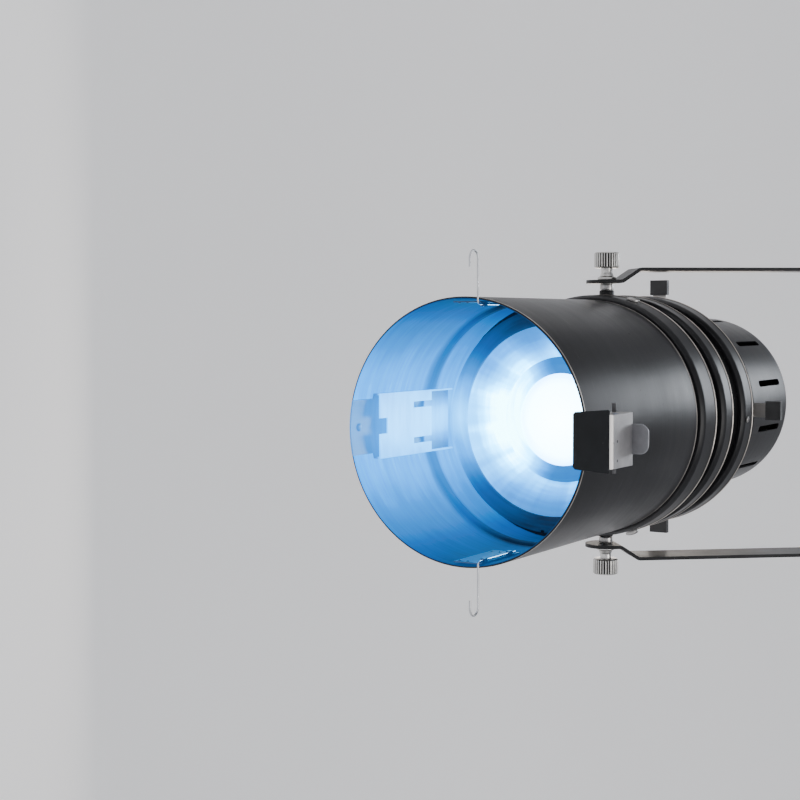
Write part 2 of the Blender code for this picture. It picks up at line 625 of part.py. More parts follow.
def add_wire(name, sign, material, hinge):
    front, reach, nose, drop = -0.0014, 0.133, 0.0122, 0.006
    bend = 0.003
    loop = nose / 2
    path = [(0.058, HOOK_LEG_X)]
    path += [(front + bend - bend * sin(a), HOOK_LEG_X + bend - bend * cos(a))
             for a in (0, pi / 8, pi / 4, 3 * pi / 8, pi / 2)]
    path += [(front - loop + loop * cos(a), reach - loop + loop * sin(a))
             for a in [pi * i / 8 for i in range(9)]]
    path.append((front - nose, reach - loop - drop))
    curve = bpy.data.curves.new(name, "CURVE")
    curve.dimensions = "3D"
    curve.bevel_depth = WIRE_RADIUS
    curve.bevel_resolution = 1
    curve.use_fill_caps = True
    spline = curve.splines.new("POLY")
    spline.points.add(len(path) - 1)
    for point, (depth, radius) in zip(spline.points, path):
        point.co = (sign * radius, depth_y(depth), HOOK_OFFSET, 1)
    curve.materials.append(material)
    wire = bpy.data.objects.new(name, curve)
    bpy.context.scene.collection.objects.link(wire)
    wire.parent = hinge
    wire.location = -Vector(hinge["place"])


def blade_outline():
    """A shutter blade for the top side, in (x, height): straight edge, round back, neck."""
    outer = GATE_RADIUS - GATE_WALL - 2 * GAP
    edge_angle = 180 * (1 - asin(BLADE_HALF_WIDTH / outer) / pi) - 90
    neck_angle = 90 - 180 / pi * asin(NECK_WIDTH / 2 / outer)
    right = arc((0, 0), outer, edge_angle, neck_angle, 5)
    left = [(-x, z) for x, z in reversed(right)]
    neck = [(NECK_WIDTH / 2, GRIP_END - 0.002), (-NECK_WIDTH / 2, GRIP_END - 0.002)]
    return [(BLADE_HALF_WIDTH, BLADE_EDGE), *right, *neck, *left, (-BLADE_HALF_WIDTH, BLADE_EDGE)]


def add_gate(materials, head):
    inner = GATE_RADIUS - GATE_WALL
    ring = make_piece("gate_housing", turned([
        (GATE_FRONT, inner), (GATE_FRONT, GATE_RADIUS), (GATE_REAR, GATE_RADIUS),
        (GATE_REAR, inner)], sides=ROUND), materials["black_paint"], head)
    slots = []
    for side, plane in BLADE_PLANES.items():
        slots.append(box((-NECK_WIDTH / 2 - 0.001, depth_y(plane - 0.0011), inner - 0.01),
                         (NECK_WIDTH / 2 + 0.001, depth_y(plane + 0.0011), GATE_RADIUS + 0.01),
                         about_beam(BLADE_TURNS[side])))
    slots.append(box((-PATTERN_HALF_WIDTH - 0.001, depth_y(PATTERN_PLANE - 0.0018), 0.04),
                     (PATTERN_HALF_WIDTH + 0.001, depth_y(PATTERN_PLANE + 0.0018), 0.09)))
    cut(ring, merged(slots))
    for name, start in (("aperture_plate", 0.3665), ("shutter_backplate", 0.3825)):
        end = start + 0.002
        make_piece(name, turned([(start, APERTURE_RADIUS), (start, inner - GAP),
                                 (end, inner - GAP), (end, APERTURE_RADIUS)], sides=FINE),
                   materials["zinc_sheet"], head)

    for side, plane in BLADE_PLANES.items():
        turn = about_beam(BLADE_TURNS[side])
        place = turn @ Vector((0, depth_y(plane), GRIP_START))
        slide = pose_point(f"shutter_{side}_slide", place, head)
        flat = Matrix.Translation((0, depth_y(plane) - BLADE_THICKNESS / 2, 0)) @ UPRIGHT
        make_piece(f"shutter_{side}", prism(blade_outline(), BLADE_THICKNESS, turn @ flat),
                   materials["bare_steel"], slide)
        half = NECK_WIDTH / 2 + 0.002
        grip = make_piece(f"shutter_grip_{side}", box(
            (-half, depth_y(plane) - 0.0026, GRIP_START), (half, depth_y(plane) + 0.0026, GRIP_END),
            turn), materials["grip_plastic"], slide)
        cut(grip, box((-NECK_WIDTH / 2 - GAP, depth_y(plane) - BLADE_THICKNESS / 2 - GAP, 0.09),
                      (NECK_WIDTH / 2 + GAP, depth_y(plane) + BLADE_THICKNESS / 2 + GAP,
                       GRIP_END - 0.002 + GAP), turn))

    slide = pose_point("pattern_slide", (0, depth_y(PATTERN_PLANE), 0.08), head)
    thick = 0.0016
    flat = Matrix.Translation((0, depth_y(PATTERN_PLANE) - thick / 2, 0)) @ UPRIGHT
    outline = [(-PATTERN_HALF_WIDTH, -0.045), (PATTERN_HALF_WIDTH, -0.045), (PATTERN_HALF_WIDTH, 0.082),
               (0.020, 0.082), (0.016, 0.094), (-0.016, 0.094), (-0.020, 0.082),
               (-PATTERN_HALF_WIDTH, 0.082)]
    holder = make_piece("pattern_holder", prism(outline, thick, flat), materials["bare_steel"],
                        slide)
    cut(holder, rod((0, depth_y(PATTERN_PLANE - 0.01), 0), (0, depth_y(PATTERN_PLANE + 0.01), 0),
                    APERTURE_RADIUS - 0.002, 32))


def ellipse_radius(depth, middle, half_length, half_width):
    return half_width * sqrt(max(0.0, 1 - ((depth - middle) / half_length) ** 2))


def add_lamp_house(materials, head):
    wall = HOUSING_RADIUS - 0.002
    mouth = REFLECTOR_MOUTH - 0.0035
    house = make_piece("rear_housing", turned([
        (HOUSING_FRONT, 0.0700), (HOUSING_FRONT, HOUSING_RADIUS - 0.003),
        (HOUSING_FRONT + 0.003, HOUSING_RADIUS), (HOUSING_REAR - 0.014, HOUSING_RADIUS),
        (HOUSING_REAR, 0.071), (HOUSING_REAR, 0.040), (HOUSING_REAR - 0.002, 0.040),
        (HOUSING_REAR - 0.002, 0.070), (HOUSING_REAR - 0.015, wall), (mouth + 0.0015, wall),
        (mouth + 0.0015, 0.0700)]), materials["black_paint"], head)
    slot_count = 12
    cut(house, merged([box((-0.003, depth_y(0.425), HOUSING_RADIUS - 0.01),
                           (0.003, depth_y(0.485), HOUSING_RADIUS + 0.01),
                           about_beam(360 * (i + 0.5) / slot_count)) for i in range(slot_count)]))

    middle = (FOCUS_NEAR + FOCUS_FAR) / 2
    half_length = REFLECTOR_APEX - middle
    half_width = sqrt(half_length ** 2 - (FOCUS_NEAR - middle) ** 2)
    hole_depth = middle + half_length * sqrt(1 - (REFLECTOR_HOLE / half_width) ** 2)
    steps = 6
    inside = []
    for i in range(steps + 1):
        share = sin(pi / 2 * i / steps)
        depth = REFLECTOR_MOUTH + (hole_depth - REFLECTOR_MOUTH) * share
        inside.append((depth, ellipse_radius(depth, middle, half_length, half_width)))
    outside = [(depth, radius + 0.0012) for depth, radius in reversed(inside[1:])]
    flange = [(REFLECTOR_MOUTH + 0.0012, inside[0][1] + 0.0014),
              (REFLECTOR_MOUTH + 0.0012, wall - GAP), (REFLECTOR_MOUTH, wall - GAP)]
    make_piece("reflector", turned(inside + outside + flange, sides=FINE),
               materials["spun_aluminium"], head)

    front = HOUSING_REAR + GAP
    cap = make_piece("rear_cap", turned([
        (front, CAP_RADIUS - CAP_WALL), (front, CAP_RADIUS), (CAP_REAR - 0.006, CAP_RADIUS),
        (CAP_REAR, CAP_RADIUS - 0.008), (CAP_REAR, 0.0026), (CAP_REAR - CAP_WALL, 0.0026),
        (CAP_REAR - CAP_WALL, CAP_RADIUS - 0.009), (CAP_REAR - 0.007, CAP_RADIUS - CAP_WALL)],
        sides=FINE), materials["black_paint"], head)
    screw_radius, screw_x = 0.0022, 0.050
    cut(cap, merged([rod((sign * screw_x, depth_y(0.52), 0), (sign * screw_x, depth_y(0.54), 0),
                         screw_radius + GAP, SCREW_SIDES) for sign in SIDES.values()]))
    for side, sign in SIDES.items():
        seat = CAP_REAR + GAP
        outline = [(HOUSING_REAR + GAP, 0), (HOUSING_REAR + GAP, screw_radius),
                   (seat, screw_radius), (seat, 0.0055), (seat + 0.005, 0.0055),
                   (seat + 0.006, 0.0045), (seat + 0.006, 0)]
        place = (sign * screw_x, -PIVOT_DEPTH, 0)
        make_piece(f"cap_screw_{side}", turned(outline, place, BACKWARD, SMALL),
                   materials["bare_steel"], head)

    gland_depth = 0.5195
    gland_seat = CAP_RADIUS + GAP
    gland = [(gland_seat, 0), (gland_seat, 0.0064), (gland_seat + 0.003, 0.0064),
             (gland_seat + 0.003, 0.0058), (gland_seat + 0.012, 0.0058),
             (gland_seat + 0.018, 0.0046), (gland_seat + 0.018, 0.0034),
             (gland_seat + 0.004, 0.0034), (gland_seat + 0.004, 0)]
    make_piece("cable_gland", turned(gland, (0, depth_y(gland_depth), 0), (0, 0, -1), SMALL),
               materials["grip_plastic"], head)
    add_lamp(materials, head)


def add_lamp(materials, head):
    """Socket and lamp slide a little on the axis as the knob behind the cap is turned."""
    slide = pose_point("lamp_slide", (0, depth_y(0.5), 0), head)
    socket = [(SOCKET_FRONT, 0), (SOCKET_FRONT, 0.0150), (SOCKET_REAR, 0.0150), (SOCKET_REAR, 0)]
    make_piece("lamp_socket", turned(socket, sides=24), materials["ceramic"], slide)
    base_front = 0.488
    base = [(base_front, 0), (base_front, 0.0085), (SOCKET_FRONT - GAP, 0.0095),
            (SOCKET_FRONT - GAP, 0)]
    make_piece("lamp_base", turned(base, sides=24), materials["ceramic"], slide)
    rear, radius, front = base_front - GAP, 0.0080, 0.4560
    bulb = [(front + radius - radius * cos(a), radius * sin(a))
            for a in [pi / 2 * i / 4 for i in range(5)]] + [(rear, radius), (rear, 0)]
    make_piece("lamp_bulb", turned(bulb, sides=24), materials["lens_glass"], slide)

    turn = pose_point("lamp_knob_turn", (0, depth_y(0.54), 0), head)
    seat, chamfer = CAP_REAR + GAP, 0.001
    knob = bar_outline([(SOCKET_REAR + LAMP_TRAVEL + 2 * GAP, seat, 0.0022),
                        (seat, seat + 0.011, 0.0115)], chamfer)
    make_piece("lamp_adjust_knob",
               turned(knob, sides=32, knurl=(seat + chamfer, seat + 0.011 - chamfer, 0.0006)),
               materials["grip_plastic"], turn)


def build():
    clear_scene()
    materials = {name: make_material(name) for name in MATERIALS}
    head = pose_point("head_tilt", (0, 0, -YOKE_HEIGHT), tilt=REST_TILT)
    add_yoke(materials)
    add_pivots(materials, head)
    add_housing(materials, head)
    add_barrel(materials, head)
    add_lens_group(materials, head)
    add_latch(materials, head)
    add_lower_guide(materials, head)
    add_hooks(materials, head)
    add_gate(materials, head)
    add_lamp_house(materials, head)
    bpy.context.view_layer.update()


build()
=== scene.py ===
"""The looks of the spotlight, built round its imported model.

Lengths are in metres. Most pieces are drawn in the head's own frame: x along the tilt axis, depth
backwards along the beam from the mouth of the barrel, up towards the head's top side.
"""

import json
from collections import namedtuple
from math import atan2, cos, hypot, pi, radians, sin, sqrt

import bmesh
import bpy
from mathutils import Matrix, Vector

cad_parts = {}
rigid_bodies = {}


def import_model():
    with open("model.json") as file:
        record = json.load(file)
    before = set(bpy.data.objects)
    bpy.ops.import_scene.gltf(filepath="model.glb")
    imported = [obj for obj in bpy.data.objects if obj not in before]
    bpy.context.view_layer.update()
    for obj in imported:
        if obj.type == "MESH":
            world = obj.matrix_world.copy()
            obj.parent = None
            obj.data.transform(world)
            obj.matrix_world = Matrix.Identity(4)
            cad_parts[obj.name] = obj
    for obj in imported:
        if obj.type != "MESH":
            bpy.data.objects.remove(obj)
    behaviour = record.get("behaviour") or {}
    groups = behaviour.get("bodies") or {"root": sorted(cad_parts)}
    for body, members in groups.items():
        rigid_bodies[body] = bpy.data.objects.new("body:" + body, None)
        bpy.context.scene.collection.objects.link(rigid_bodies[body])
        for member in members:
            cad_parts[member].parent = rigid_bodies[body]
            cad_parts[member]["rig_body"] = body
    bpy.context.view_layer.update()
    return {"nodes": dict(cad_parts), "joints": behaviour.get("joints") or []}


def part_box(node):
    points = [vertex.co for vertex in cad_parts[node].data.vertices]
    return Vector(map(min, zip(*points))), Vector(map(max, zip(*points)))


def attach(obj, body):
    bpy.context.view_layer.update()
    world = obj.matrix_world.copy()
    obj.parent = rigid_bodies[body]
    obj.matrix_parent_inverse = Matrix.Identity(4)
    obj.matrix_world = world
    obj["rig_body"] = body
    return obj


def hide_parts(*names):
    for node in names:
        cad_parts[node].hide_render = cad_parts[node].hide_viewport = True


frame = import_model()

# ---------------------------------------------------------------- the head's frame, from the joints
JOINTS = {joint["name"]: joint for joint in frame["joints"]}
PIVOT = Vector(JOINTS["head_tilt"]["pos_m"])
SIDEWAYS = Vector(JOINTS["head_tilt"]["axis"])
BACK = Vector(JOINTS["focus_slide"]["axis"]).normalized()
UP = SIDEWAYS.cross(BACK)
TILT = atan2(BACK.z, BACK.y)


def frame_at(origin):
    axes = Matrix((SIDEWAYS, BACK, UP)).transposed().to_4x4()
    return Matrix.Translation(origin) @ axes


def nearest_depth(node):
    to_pivot = frame_at(PIVOT).inverted()
    return min((to_pivot @ v.co).y for v in frame["nodes"][node].data.vertices)


MOUTH = PIVOT + BACK * nearest_depth("lens_barrel")
HEAD = frame_at(MOUTH)
PIVOT_DEPTH = (PIVOT - MOUTH).length
Ring = namedtuple("Ring", "front rear inner outer")


def head_points(node):
    to_head = HEAD.inverted()
    return [to_head @ v.co for v in frame["nodes"][node].data.vertices]


def measure(node):
    """Depths and radii of a turned CAD piece about the beam's axis."""
    points = head_points(node)
    radii = [hypot(p.x, p.z) for p in points]
    depths = [p.y for p in points]
    return Ring(min(depths), max(depths), min(radii), max(radii))


def head_box(node):
    """The low and high corners of a CAD piece in the head's frame."""
    points = head_points(node)
    return (Vector([min(p[i] for p in points) for i in range(3)]),
            Vector([max(p[i] for p in points) for i in range(3)]))


ALONG_BEAM = HEAD @ Matrix.Rotation(radians(-90), 4, "X")  # takes +Z to the beam's axis
# Flat outlines are drawn in XY and extruded along +Z. These lay them face on, as (x, up) with the
# length backwards, or side on, as (backwards, up) with the length along x.
FACE_ON = Matrix(((1, 0, 0, 0), (0, 0, 1, 0), (0, 1, 0, 0), (0, 0, 0, 1)))
SIDE_ON = Matrix(((0, 0, 1, 0), (1, 0, 0, 0), (0, 1, 0, 0), (0, 0, 0, 1)))
SIDES = {"left": -1, "right": 1}
BODY_OF = {node: piece["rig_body"] for node, piece in frame["nodes"].items()}

# ---------------------------------------------------------------- materials
GLOW_BLUE = (0.0, 0.06, 0.36)
GLOW_STRENGTH = 15.0
GLOW_LEVELS = [  # the blue light, from 0, nearly dark, to 1, nearly white
    (0.0, (0.0003, 0.0011, 0.0030)), (0.12, (0.0002, 0.0048, 0.017)), (0.22, (0.0, 0.0068, 0.030)),
    (0.33, (0.0, 0.0100, 0.044)), (0.45, (0.0, 0.0180, 0.064)), (0.57, (0.0, 0.029, 0.102)),
    (0.70, (0.0, 0.060, 0.200)), (0.84, (0.006, 0.165, 0.42)), (0.93, (0.03, 0.42, 0.86)),
    (1.0, (0.28, 0.80, 1.0))]
EDGE_REACH = 0.0009  # how wide a rubbed edge with its painted highlight line is, either way
SHADOW_REACH = 0.0125  # the same for the soft shadow along the bead inside the barrel
SHADOW_DROP = 0.17
GUIDE_HEIGHT = -0.085  # the lower guide's place below the beam's axis
# Rubbed bare metal at the edges, light and warm so that it also paints highlight lines
RUBBED_EDGE_HIGHLIGHT = (0.66, 0.61, 0.56, 1)
SCRATCHED = (0.30, 0.30, 0.31, 1)
TARNISH = (0.12, 0.11, 0.10, 1)
# Near white: painted highlight lines along the edges of bare metal
PAINTED_EDGE_GLINT = (0.97, 0.93, 0.88, 1)


def new_material(name):
    material = bpy.data.materials.new(name)
    material.use_nodes = True
    return material, material.node_tree, material.node_tree.nodes["Principled BSDF"]


def feed(tree, target, inputs):
    """Links or sets a node's inputs."""
    for key, value in inputs.items():
        if isinstance(value, bpy.types.NodeSocket):
            tree.links.new(value, target.inputs[key])
        else:
            target.inputs[key].default_value = value


def node(tree, kind, inputs=None, out=0, **settings):
    """Adds a node, feeds it, and gives back one of its outputs."""
    made = tree.nodes.new(kind)
    for key, value in settings.items():
        setattr(made, key, value)
    feed(tree, made, inputs or {})
    return made.outputs[out]


def calc(tree, operation, a, b=0.0, clamp=False):
    return node(tree, "ShaderNodeMath", {0: a, 1: b}, operation=operation, use_clamp=clamp)


def mapped(tree, value, low, high, to_low=0.0, to_high=1.0, smooth=False):
    kind = "SMOOTHSTEP" if smooth else "LINEAR"
    return node(tree, "ShaderNodeMapRange", {0: value, 1: low, 2: high, 3: to_low, 4: to_high},
                interpolation_type=kind)


def blend_colour(tree, share, first, second):
    return node(tree, "ShaderNodeMix", {0: share, 6: first, 7: second}, out=2, data_type="RGBA")


def noise(tree, vector, scale, detail=3.0, rough=0.5):
    return node(tree, "ShaderNodeTexNoise",
                {"Vector": vector, "Scale": scale, "Detail": detail, "Roughness": rough})


def ramp(tree, value, stops):
    """A colour ramp from (position, colour) stops."""
    made = tree.nodes.new("ShaderNodeValToRGB")
    tree.links.new(value, made.inputs[0])
    points = made.color_ramp.elements
    while len(points) < len(stops):
        points.new(1.0)
    for point, (position, colour) in zip(points, stops):
        point.position = position
        point.color = (*colour, 1.0)
    return made.outputs[0]


class HeadSpace:
    """Sockets that give a surface point in the head's frame."""

    def __init__(self, tree):
        raw = node(tree, "ShaderNodeTexCoord", out=3)
        from_mouth = node(tree, "ShaderNodeVectorMath", {0: raw, 1: MOUTH}, operation="SUBTRACT")
        self.point = node(tree, "ShaderNodeVectorRotate", {"Vector": from_mouth, "Angle": -TILT},
                          rotation_type="X_AXIS")
        parts = tree.nodes.new("ShaderNodeSeparateXYZ")
        tree.links.new(self.point, parts.inputs[0])
        self.x, self.depth, self.up = parts.outputs
        flat = node(tree, "ShaderNodeCombineXYZ", {0: self.x, 1: 0.0, 2: self.up})
        self.radius = node(tree, "ShaderNodeVectorMath", {0: flat}, out=1, operation="LENGTH")
        self.round = node(tree, "ShaderNodeVectorMath", {0: flat}, operation="NORMALIZE")
        guide = (0.0, 0.0, GUIDE_HEIGHT)
        self.from_guide = node(tree, "ShaderNodeVectorMath", {0: flat, 1: guide}, out=1,
                               operation="DISTANCE")

    def turned(self, tree, fine, around):
        """Coordinates for marks that run round the axis: `fine` across them, `around` along."""
        along = node(tree, "ShaderNodeVectorMath", {0: self.round, 3: around}, operation="SCALE")
        across = node(tree, "ShaderNodeCombineXYZ", {
            0: calc(tree, "MULTIPLY", self.radius, fine),
            1: calc(tree, "MULTIPLY", self.depth, fine), 2: 0.0})
        return node(tree, "ShaderNodeVectorMath", {0: along, 1: across}, operation="ADD")


def set_bump(tree, shader, height, distance, strength=1.0):
    bump = node(tree, "ShaderNodeBump",
                {"Height": height, "Distance": distance, "Strength": strength})
    feed(tree, shader, {"Normal": bump})


def near_any(tree, value, places, reach):
    """1 where the value is at one of the places, down to 0 at the reach."""
    result = None
    for place in places:
        away = calc(tree, "ABSOLUTE", calc(tree, "SUBTRACT", value, place))
        close = mapped(tree, away, reach, reach * 0.25)
        result = close if result is None else calc(tree, "MAXIMUM", result, close)
    return result


def paint(name, dark, light, rough, turned_marks=True, edges=(), gloss=0.26):
    """Satin paint over turned sheet: fine ring marks, faint scratches, dust, and rubbed edges made
    bright as painted highlights.
    """
    material, tree, shader = new_material(name)
    space = HeadSpace(tree)
    cloud = noise(tree, space.point, 22.0, 5.0, 0.6)
    if turned_marks:
        rings = noise(tree, space.turned(tree, 900.0, 1.6), 1.0, 4.0, 0.65)
        coarse_rings = noise(tree, space.turned(tree, 130.0, 0.8), 1.0, 2.0)
    else:
        rings = noise(tree, space.point, 700.0, 3.0)
        coarse_rings = noise(tree, space.point, 60.0, 3.0)
    grain = noise(tree, space.point, 2600.0, 2.0)
    scratch = mapped(tree, noise(tree, space.turned(tree, 420.0, 6.0), 1.0, 1.0), 0.73, 0.78)
    nicks = mapped(tree, noise(tree, space.point, 260.0, 2.0, 0.7), 0.735, 0.76)
    marked = calc(tree, "MAXIMUM", calc(tree, "MULTIPLY", scratch, 0.35), nicks)
    colour = blend_colour(tree, mapped(tree, cloud, 0.35, 0.68), (*dark, 1), (*light, 1))
    colour = blend_colour(tree, calc(tree, "MULTIPLY", marked, 0.12), colour, SCRATCHED)
    if edges:
        # Rubbed edges: partly wear, partly painted highlight lines along the rims and beads
        wear_and_highlight_noise = noise(tree, space.turned(tree, 200.0, 9.0), 1.0, 3.0)
        rub_and_highlight_share = mapped(tree, wear_and_highlight_noise, 0.30, 0.62, 0.45, 0.90)
        rubbed_and_highlighted = calc(tree, "MULTIPLY", near_any(tree, space.depth, edges, EDGE_REACH), rub_and_highlight_share)
        colour = blend_colour(tree, rubbed_and_highlighted, colour, RUBBED_EDGE_HIGHLIGHT)
        feed(tree, shader, {"Metallic": rubbed_and_highlighted})
    uneven = calc(tree, "ADD", calc(tree, "MULTIPLY", coarse_rings, 0.08),
                  calc(tree, "MULTIPLY", cloud, 0.14))
    level = calc(tree, "ADD", uneven, rough - 0.14)
    level = calc(tree, "SUBTRACT", level, calc(tree, "MULTIPLY", marked, 0.10))
    feed(tree, shader, {"Base Color": colour, "Roughness": level, "Specular IOR Level": gloss})
    height = calc(tree, "ADD", rings, calc(tree, "MULTIPLY", grain, 0.35))
    set_bump(tree, shader, height, 0.00006, 0.55)
    return material


def bare_metal(name, colour, tint, rough, turned_marks=False, spots=False, edges=()):
    """Rolled or turned bare metal: drawn lines, handling marks, slight tarnish, painted highlights
    along edges.
    """
    material, tree, shader = new_material(name)
    space = HeadSpace(tree)
    if turned_marks:
        lines = noise(tree, space.turned(tree, 1400.0, 2.0), 1.0, 4.0, 0.7)
    else:
        stretched = node(tree, "ShaderNodeVectorMath", {0: space.point, 1: (1800.0, 60.0, 1800.0)},
                         operation="MULTIPLY")
        lines = noise(tree, stretched, 1.0, 4.0, 0.7)
    cloud = noise(tree, space.point, 60.0, 5.0, 0.6)
    mixed = blend_colour(tree, mapped(tree, cloud, 0.32, 0.70), (*colour, 1), (*tint, 1))
    if spots:
        cells = node(tree, "ShaderNodeTexVoronoi", {"Vector": space.point, "Scale": 120.0})
        spot = mapped(tree, cells, 0.10, 0.04)
        mixed = blend_colour(tree, calc(tree, "MULTIPLY", spot, 0.5), mixed, TARNISH)
    if edges:
        # Painted highlight lines at the given depths
        edge_glint = near_any(tree, space.depth, edges, EDGE_REACH)
        mixed = blend_colour(tree, edge_glint, mixed, PAINTED_EDGE_GLINT)
    level = calc(tree, "ADD", calc(tree, "MULTIPLY", lines, 0.16), rough - 0.08)
    smudged = calc(tree, "ADD", level, calc(tree, "MULTIPLY", cloud, 0.10))
    feed(tree, shader, {"Base Color": mixed, "Metallic": 1.0, "Roughness": smudged})
    set_bump(tree, shader, lines, 0.00004, 0.5)
    return material


def knurled_metal(name, crest, groove):
    """The tilt knobs' metal: painted shade in the grooves of the grip, and bright crests."""
    material = bare_metal(name, crest, tuple(0.7 * channel for channel in crest), 0.26)
    tree = material.node_tree
    shader = tree.nodes["Principled BSDF"]
    bright = shader.inputs["Base Color"].links[0].from_socket
    space = HeadSpace(tree)
    behind = calc(tree, "SUBTRACT", space.depth, PIVOT_DEPTH)
    across = node(tree, "ShaderNodeCombineXYZ", {0: behind, 1: space.up, 2: 0.0})
    out_from_axis = node(tree, "ShaderNodeVectorMath", {0: across}, out=1, operation="LENGTH")
    # Painted shade: near black below the crests, on the grip only
    groove_shade = mapped(tree, out_from_axis, KNOB_RADIUS - 0.0004, KNOB_RADIUS - 0.0011, smooth=True)
    sideways = calc(tree, "ABSOLUTE", space.x)
    on_grip = mapped(tree, sideways, KNOB_GRIP_FROM, KNOB_GRIP_FROM + 0.0005)
    inside_end = mapped(tree, sideways, KNOB_GRIP_TO, KNOB_GRIP_TO - 0.0005)
    share = calc(tree, "MULTIPLY", groove_shade, calc(tree, "MULTIPLY", on_grip, inside_end))
    feed(tree, shader, {"Base Color": blend_colour(tree, share, bright, (*groove, 1))})
    return material


def lit_metal(name, colour, rough, levels, gain=None, shadows=(), fan_highlights=0.0, gloss=0.3, metal=0.15):
    """Bare metal inside the barrel, aglow with the light that the lens throws past it.

    `levels` lists (distance from the lower guide, level). `gain` is (radius from, radius to, what
    is added at the second). `shadows` are the depths of soft dark rings. The fan argument gives
    the strength of painted fan-shaped highlights round the axis.
    """
    material, tree, shader = new_material(name)
    space = HeadSpace(tree)
    rings = noise(tree, space.turned(tree, 1500.0, 1.2), 1.0, 4.0, 0.65)
    broad = noise(tree, space.turned(tree, 240.0, 1.7), 1.0, 3.0, 0.6)
    cloud = noise(tree, space.point, 35.0, 4.0)
    darker = tuple(0.7 * channel for channel in colour)
    mixed = blend_colour(tree, mapped(tree, rings, 0.30, 0.72), (*darker, 1), (*colour, 1))
    rougher = calc(tree, "ADD", calc(tree, "MULTIPLY", rings, 0.18), rough - 0.12)
    rougher = calc(tree, "ADD", rougher, calc(tree, "MULTIPLY", cloud, 0.08))
    feed(tree, shader, {"Base Color": mixed, "Metallic": metal, "Specular IOR Level": gloss,
                        "Roughness": rougher})
    set_bump(tree, shader, calc(tree, "ADD", rings, calc(tree, "MULTIPLY", broad, 0.6)),
             0.00005, 0.6)
    reach = 0.2  # the farthest distance that `levels` lists
    level = ramp(tree, mapped(tree, space.from_guide, 0.0, reach),
                 [(distance / reach, (value, value, value)) for distance, value in levels])
    if gain:
        start, end, added = gain
        extra = mapped(tree, space.radius, start, end, 0.0, added, smooth=True)
        level = calc(tree, "ADD", level, extra)
    if shadows:
        shade = near_any(tree, space.depth, shadows, SHADOW_REACH)
        level = calc(tree, "SUBTRACT", level, calc(tree, "MULTIPLY", shade, SHADOW_DROP))
    level = calc(tree, "ADD", level, mapped(tree, broad, 0.25, 0.75, -0.035, 0.035))
    level = calc(tree, "ADD", level, mapped(tree, cloud, 0.3, 0.7, -0.02, 0.02))
    # Painted fan-shaped highlights round the axis, as on spun metal
    if fan_highlights:
        wide = noise(tree, space.round, 2.4, 3.0, 0.6)
        level = calc(tree, "ADD", level, mapped(tree, wide, 0.35, 0.65, -fan_highlights, fan_highlights))
    feed(tree, shader, {"Emission Color": ramp(tree, level, GLOW_LEVELS),
                        "Emission Strength": GLOW_STRENGTH})
    return material


def lit_glass(name, bright, rim_radius):
    """The lamp's light seen in the front lens: white in the middle, blue towards the rim."""
    material, tree, shader = new_material(name)
    space = HeadSpace(tree)
    share = mapped(tree, space.radius, 0.0, rim_radius)
    ripple = noise(tree, space.turned(tree, 260.0, 2.0), 1.0, 2.0)
    wavy = calc(tree, "ADD", share, mapped(tree, ripple, 0.3, 0.7, -0.02, 0.02))
    colour = ramp(tree, wavy, [(0.0, (0.62, 0.85, 1.0)), (0.60, (0.40, 0.75, 1.0)),
                               (0.80, (0.08, 0.30, 0.80)), (1.0, GLOW_BLUE)])
    tint = blend_colour(tree, share, (0.82, 0.90, 0.96, 1), (0.60, 0.76, 0.90, 1))
    feed(tree, shader, {"Base Color": tint, "Roughness": mapped(tree, ripple, 0.2, 0.8, 0.03, 0.09),
                        "Emission Color": colour, "Emission Strength": bright})
    return material


def moulded(name, colour, rough):
    """Moulded plastic or fired ceramic: a fine matt grain with polished patches."""
    material, tree, shader = new_material(name)
    space = HeadSpace(tree)
    grain = noise(tree, space.point, 1700.0, 3.0)
    patches = noise(tree, space.point, 90.0, 4.0)
    light = tuple(min(1.0, 1.5 * channel + 0.004) for channel in colour)
    mixed = blend_colour(tree, mapped(tree, patches, 0.35, 0.7), (*colour, 1), (*light, 1))
    level = mapped(tree, patches, 0.3, 0.7, rough - 0.08, rough + 0.10)
    feed(tree, shader, {"Base Color": mixed, "Roughness": level})
    set_bump(tree, shader, grain, 0.00010, 0.5)
    return material


def studio_paper():
    material, tree, shader = new_material("studio_paper")
    cloud = noise(tree, node(tree, "ShaderNodeTexCoord", out=3), 1.3, 3.0)
    colour = blend_colour(tree, cloud, (0.80, 0.80, 0.81, 1), (0.84, 0.84, 0.845, 1))
    feed(tree, shader, {"Base Color": colour, "Roughness": 0.9, "Emission Color": colour,
                        "Emission Strength": 0.30})
    return material


BARREL = measure("lens_barrel")
FRONT_BAND = measure("front_vent_band")
MIDDLE_BAND = measure("middle_vent_band")
REAR_BAND = measure("rear_vent_band")
SHELL = measure("housing_shell")
CARRIAGE = measure("lens_retaining_ring")
BOWL = measure("spun_baffle")
CELL = measure("lens_cell")
LENS = measure("front_lens")
GATE = measure("gate_housing")
REAR = measure("rear_housing")
CAP = measure("rear_cap")

BANDS = {"front": FRONT_BAND, "middle": MIDDLE_BAND, "rear": REAR_BAND}
# Edges with rubbed metal and painted highlight lines: the mouth rim, the barrel's rear bead and each
# band's rear bead
EDGE_DEPTHS = [BARREL.front + 0.0011, BARREL.rear - 0.0026]
EDGE_DEPTHS += [band.rear - 0.0014 for band in BANDS.values()]
KNOB_RADIUS = 0.011
KNOB_GRIP_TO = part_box("tilt_knob_right")[1].x - 0.0010
KNOB_GRIP_FROM = KNOB_GRIP_TO - 0.0122

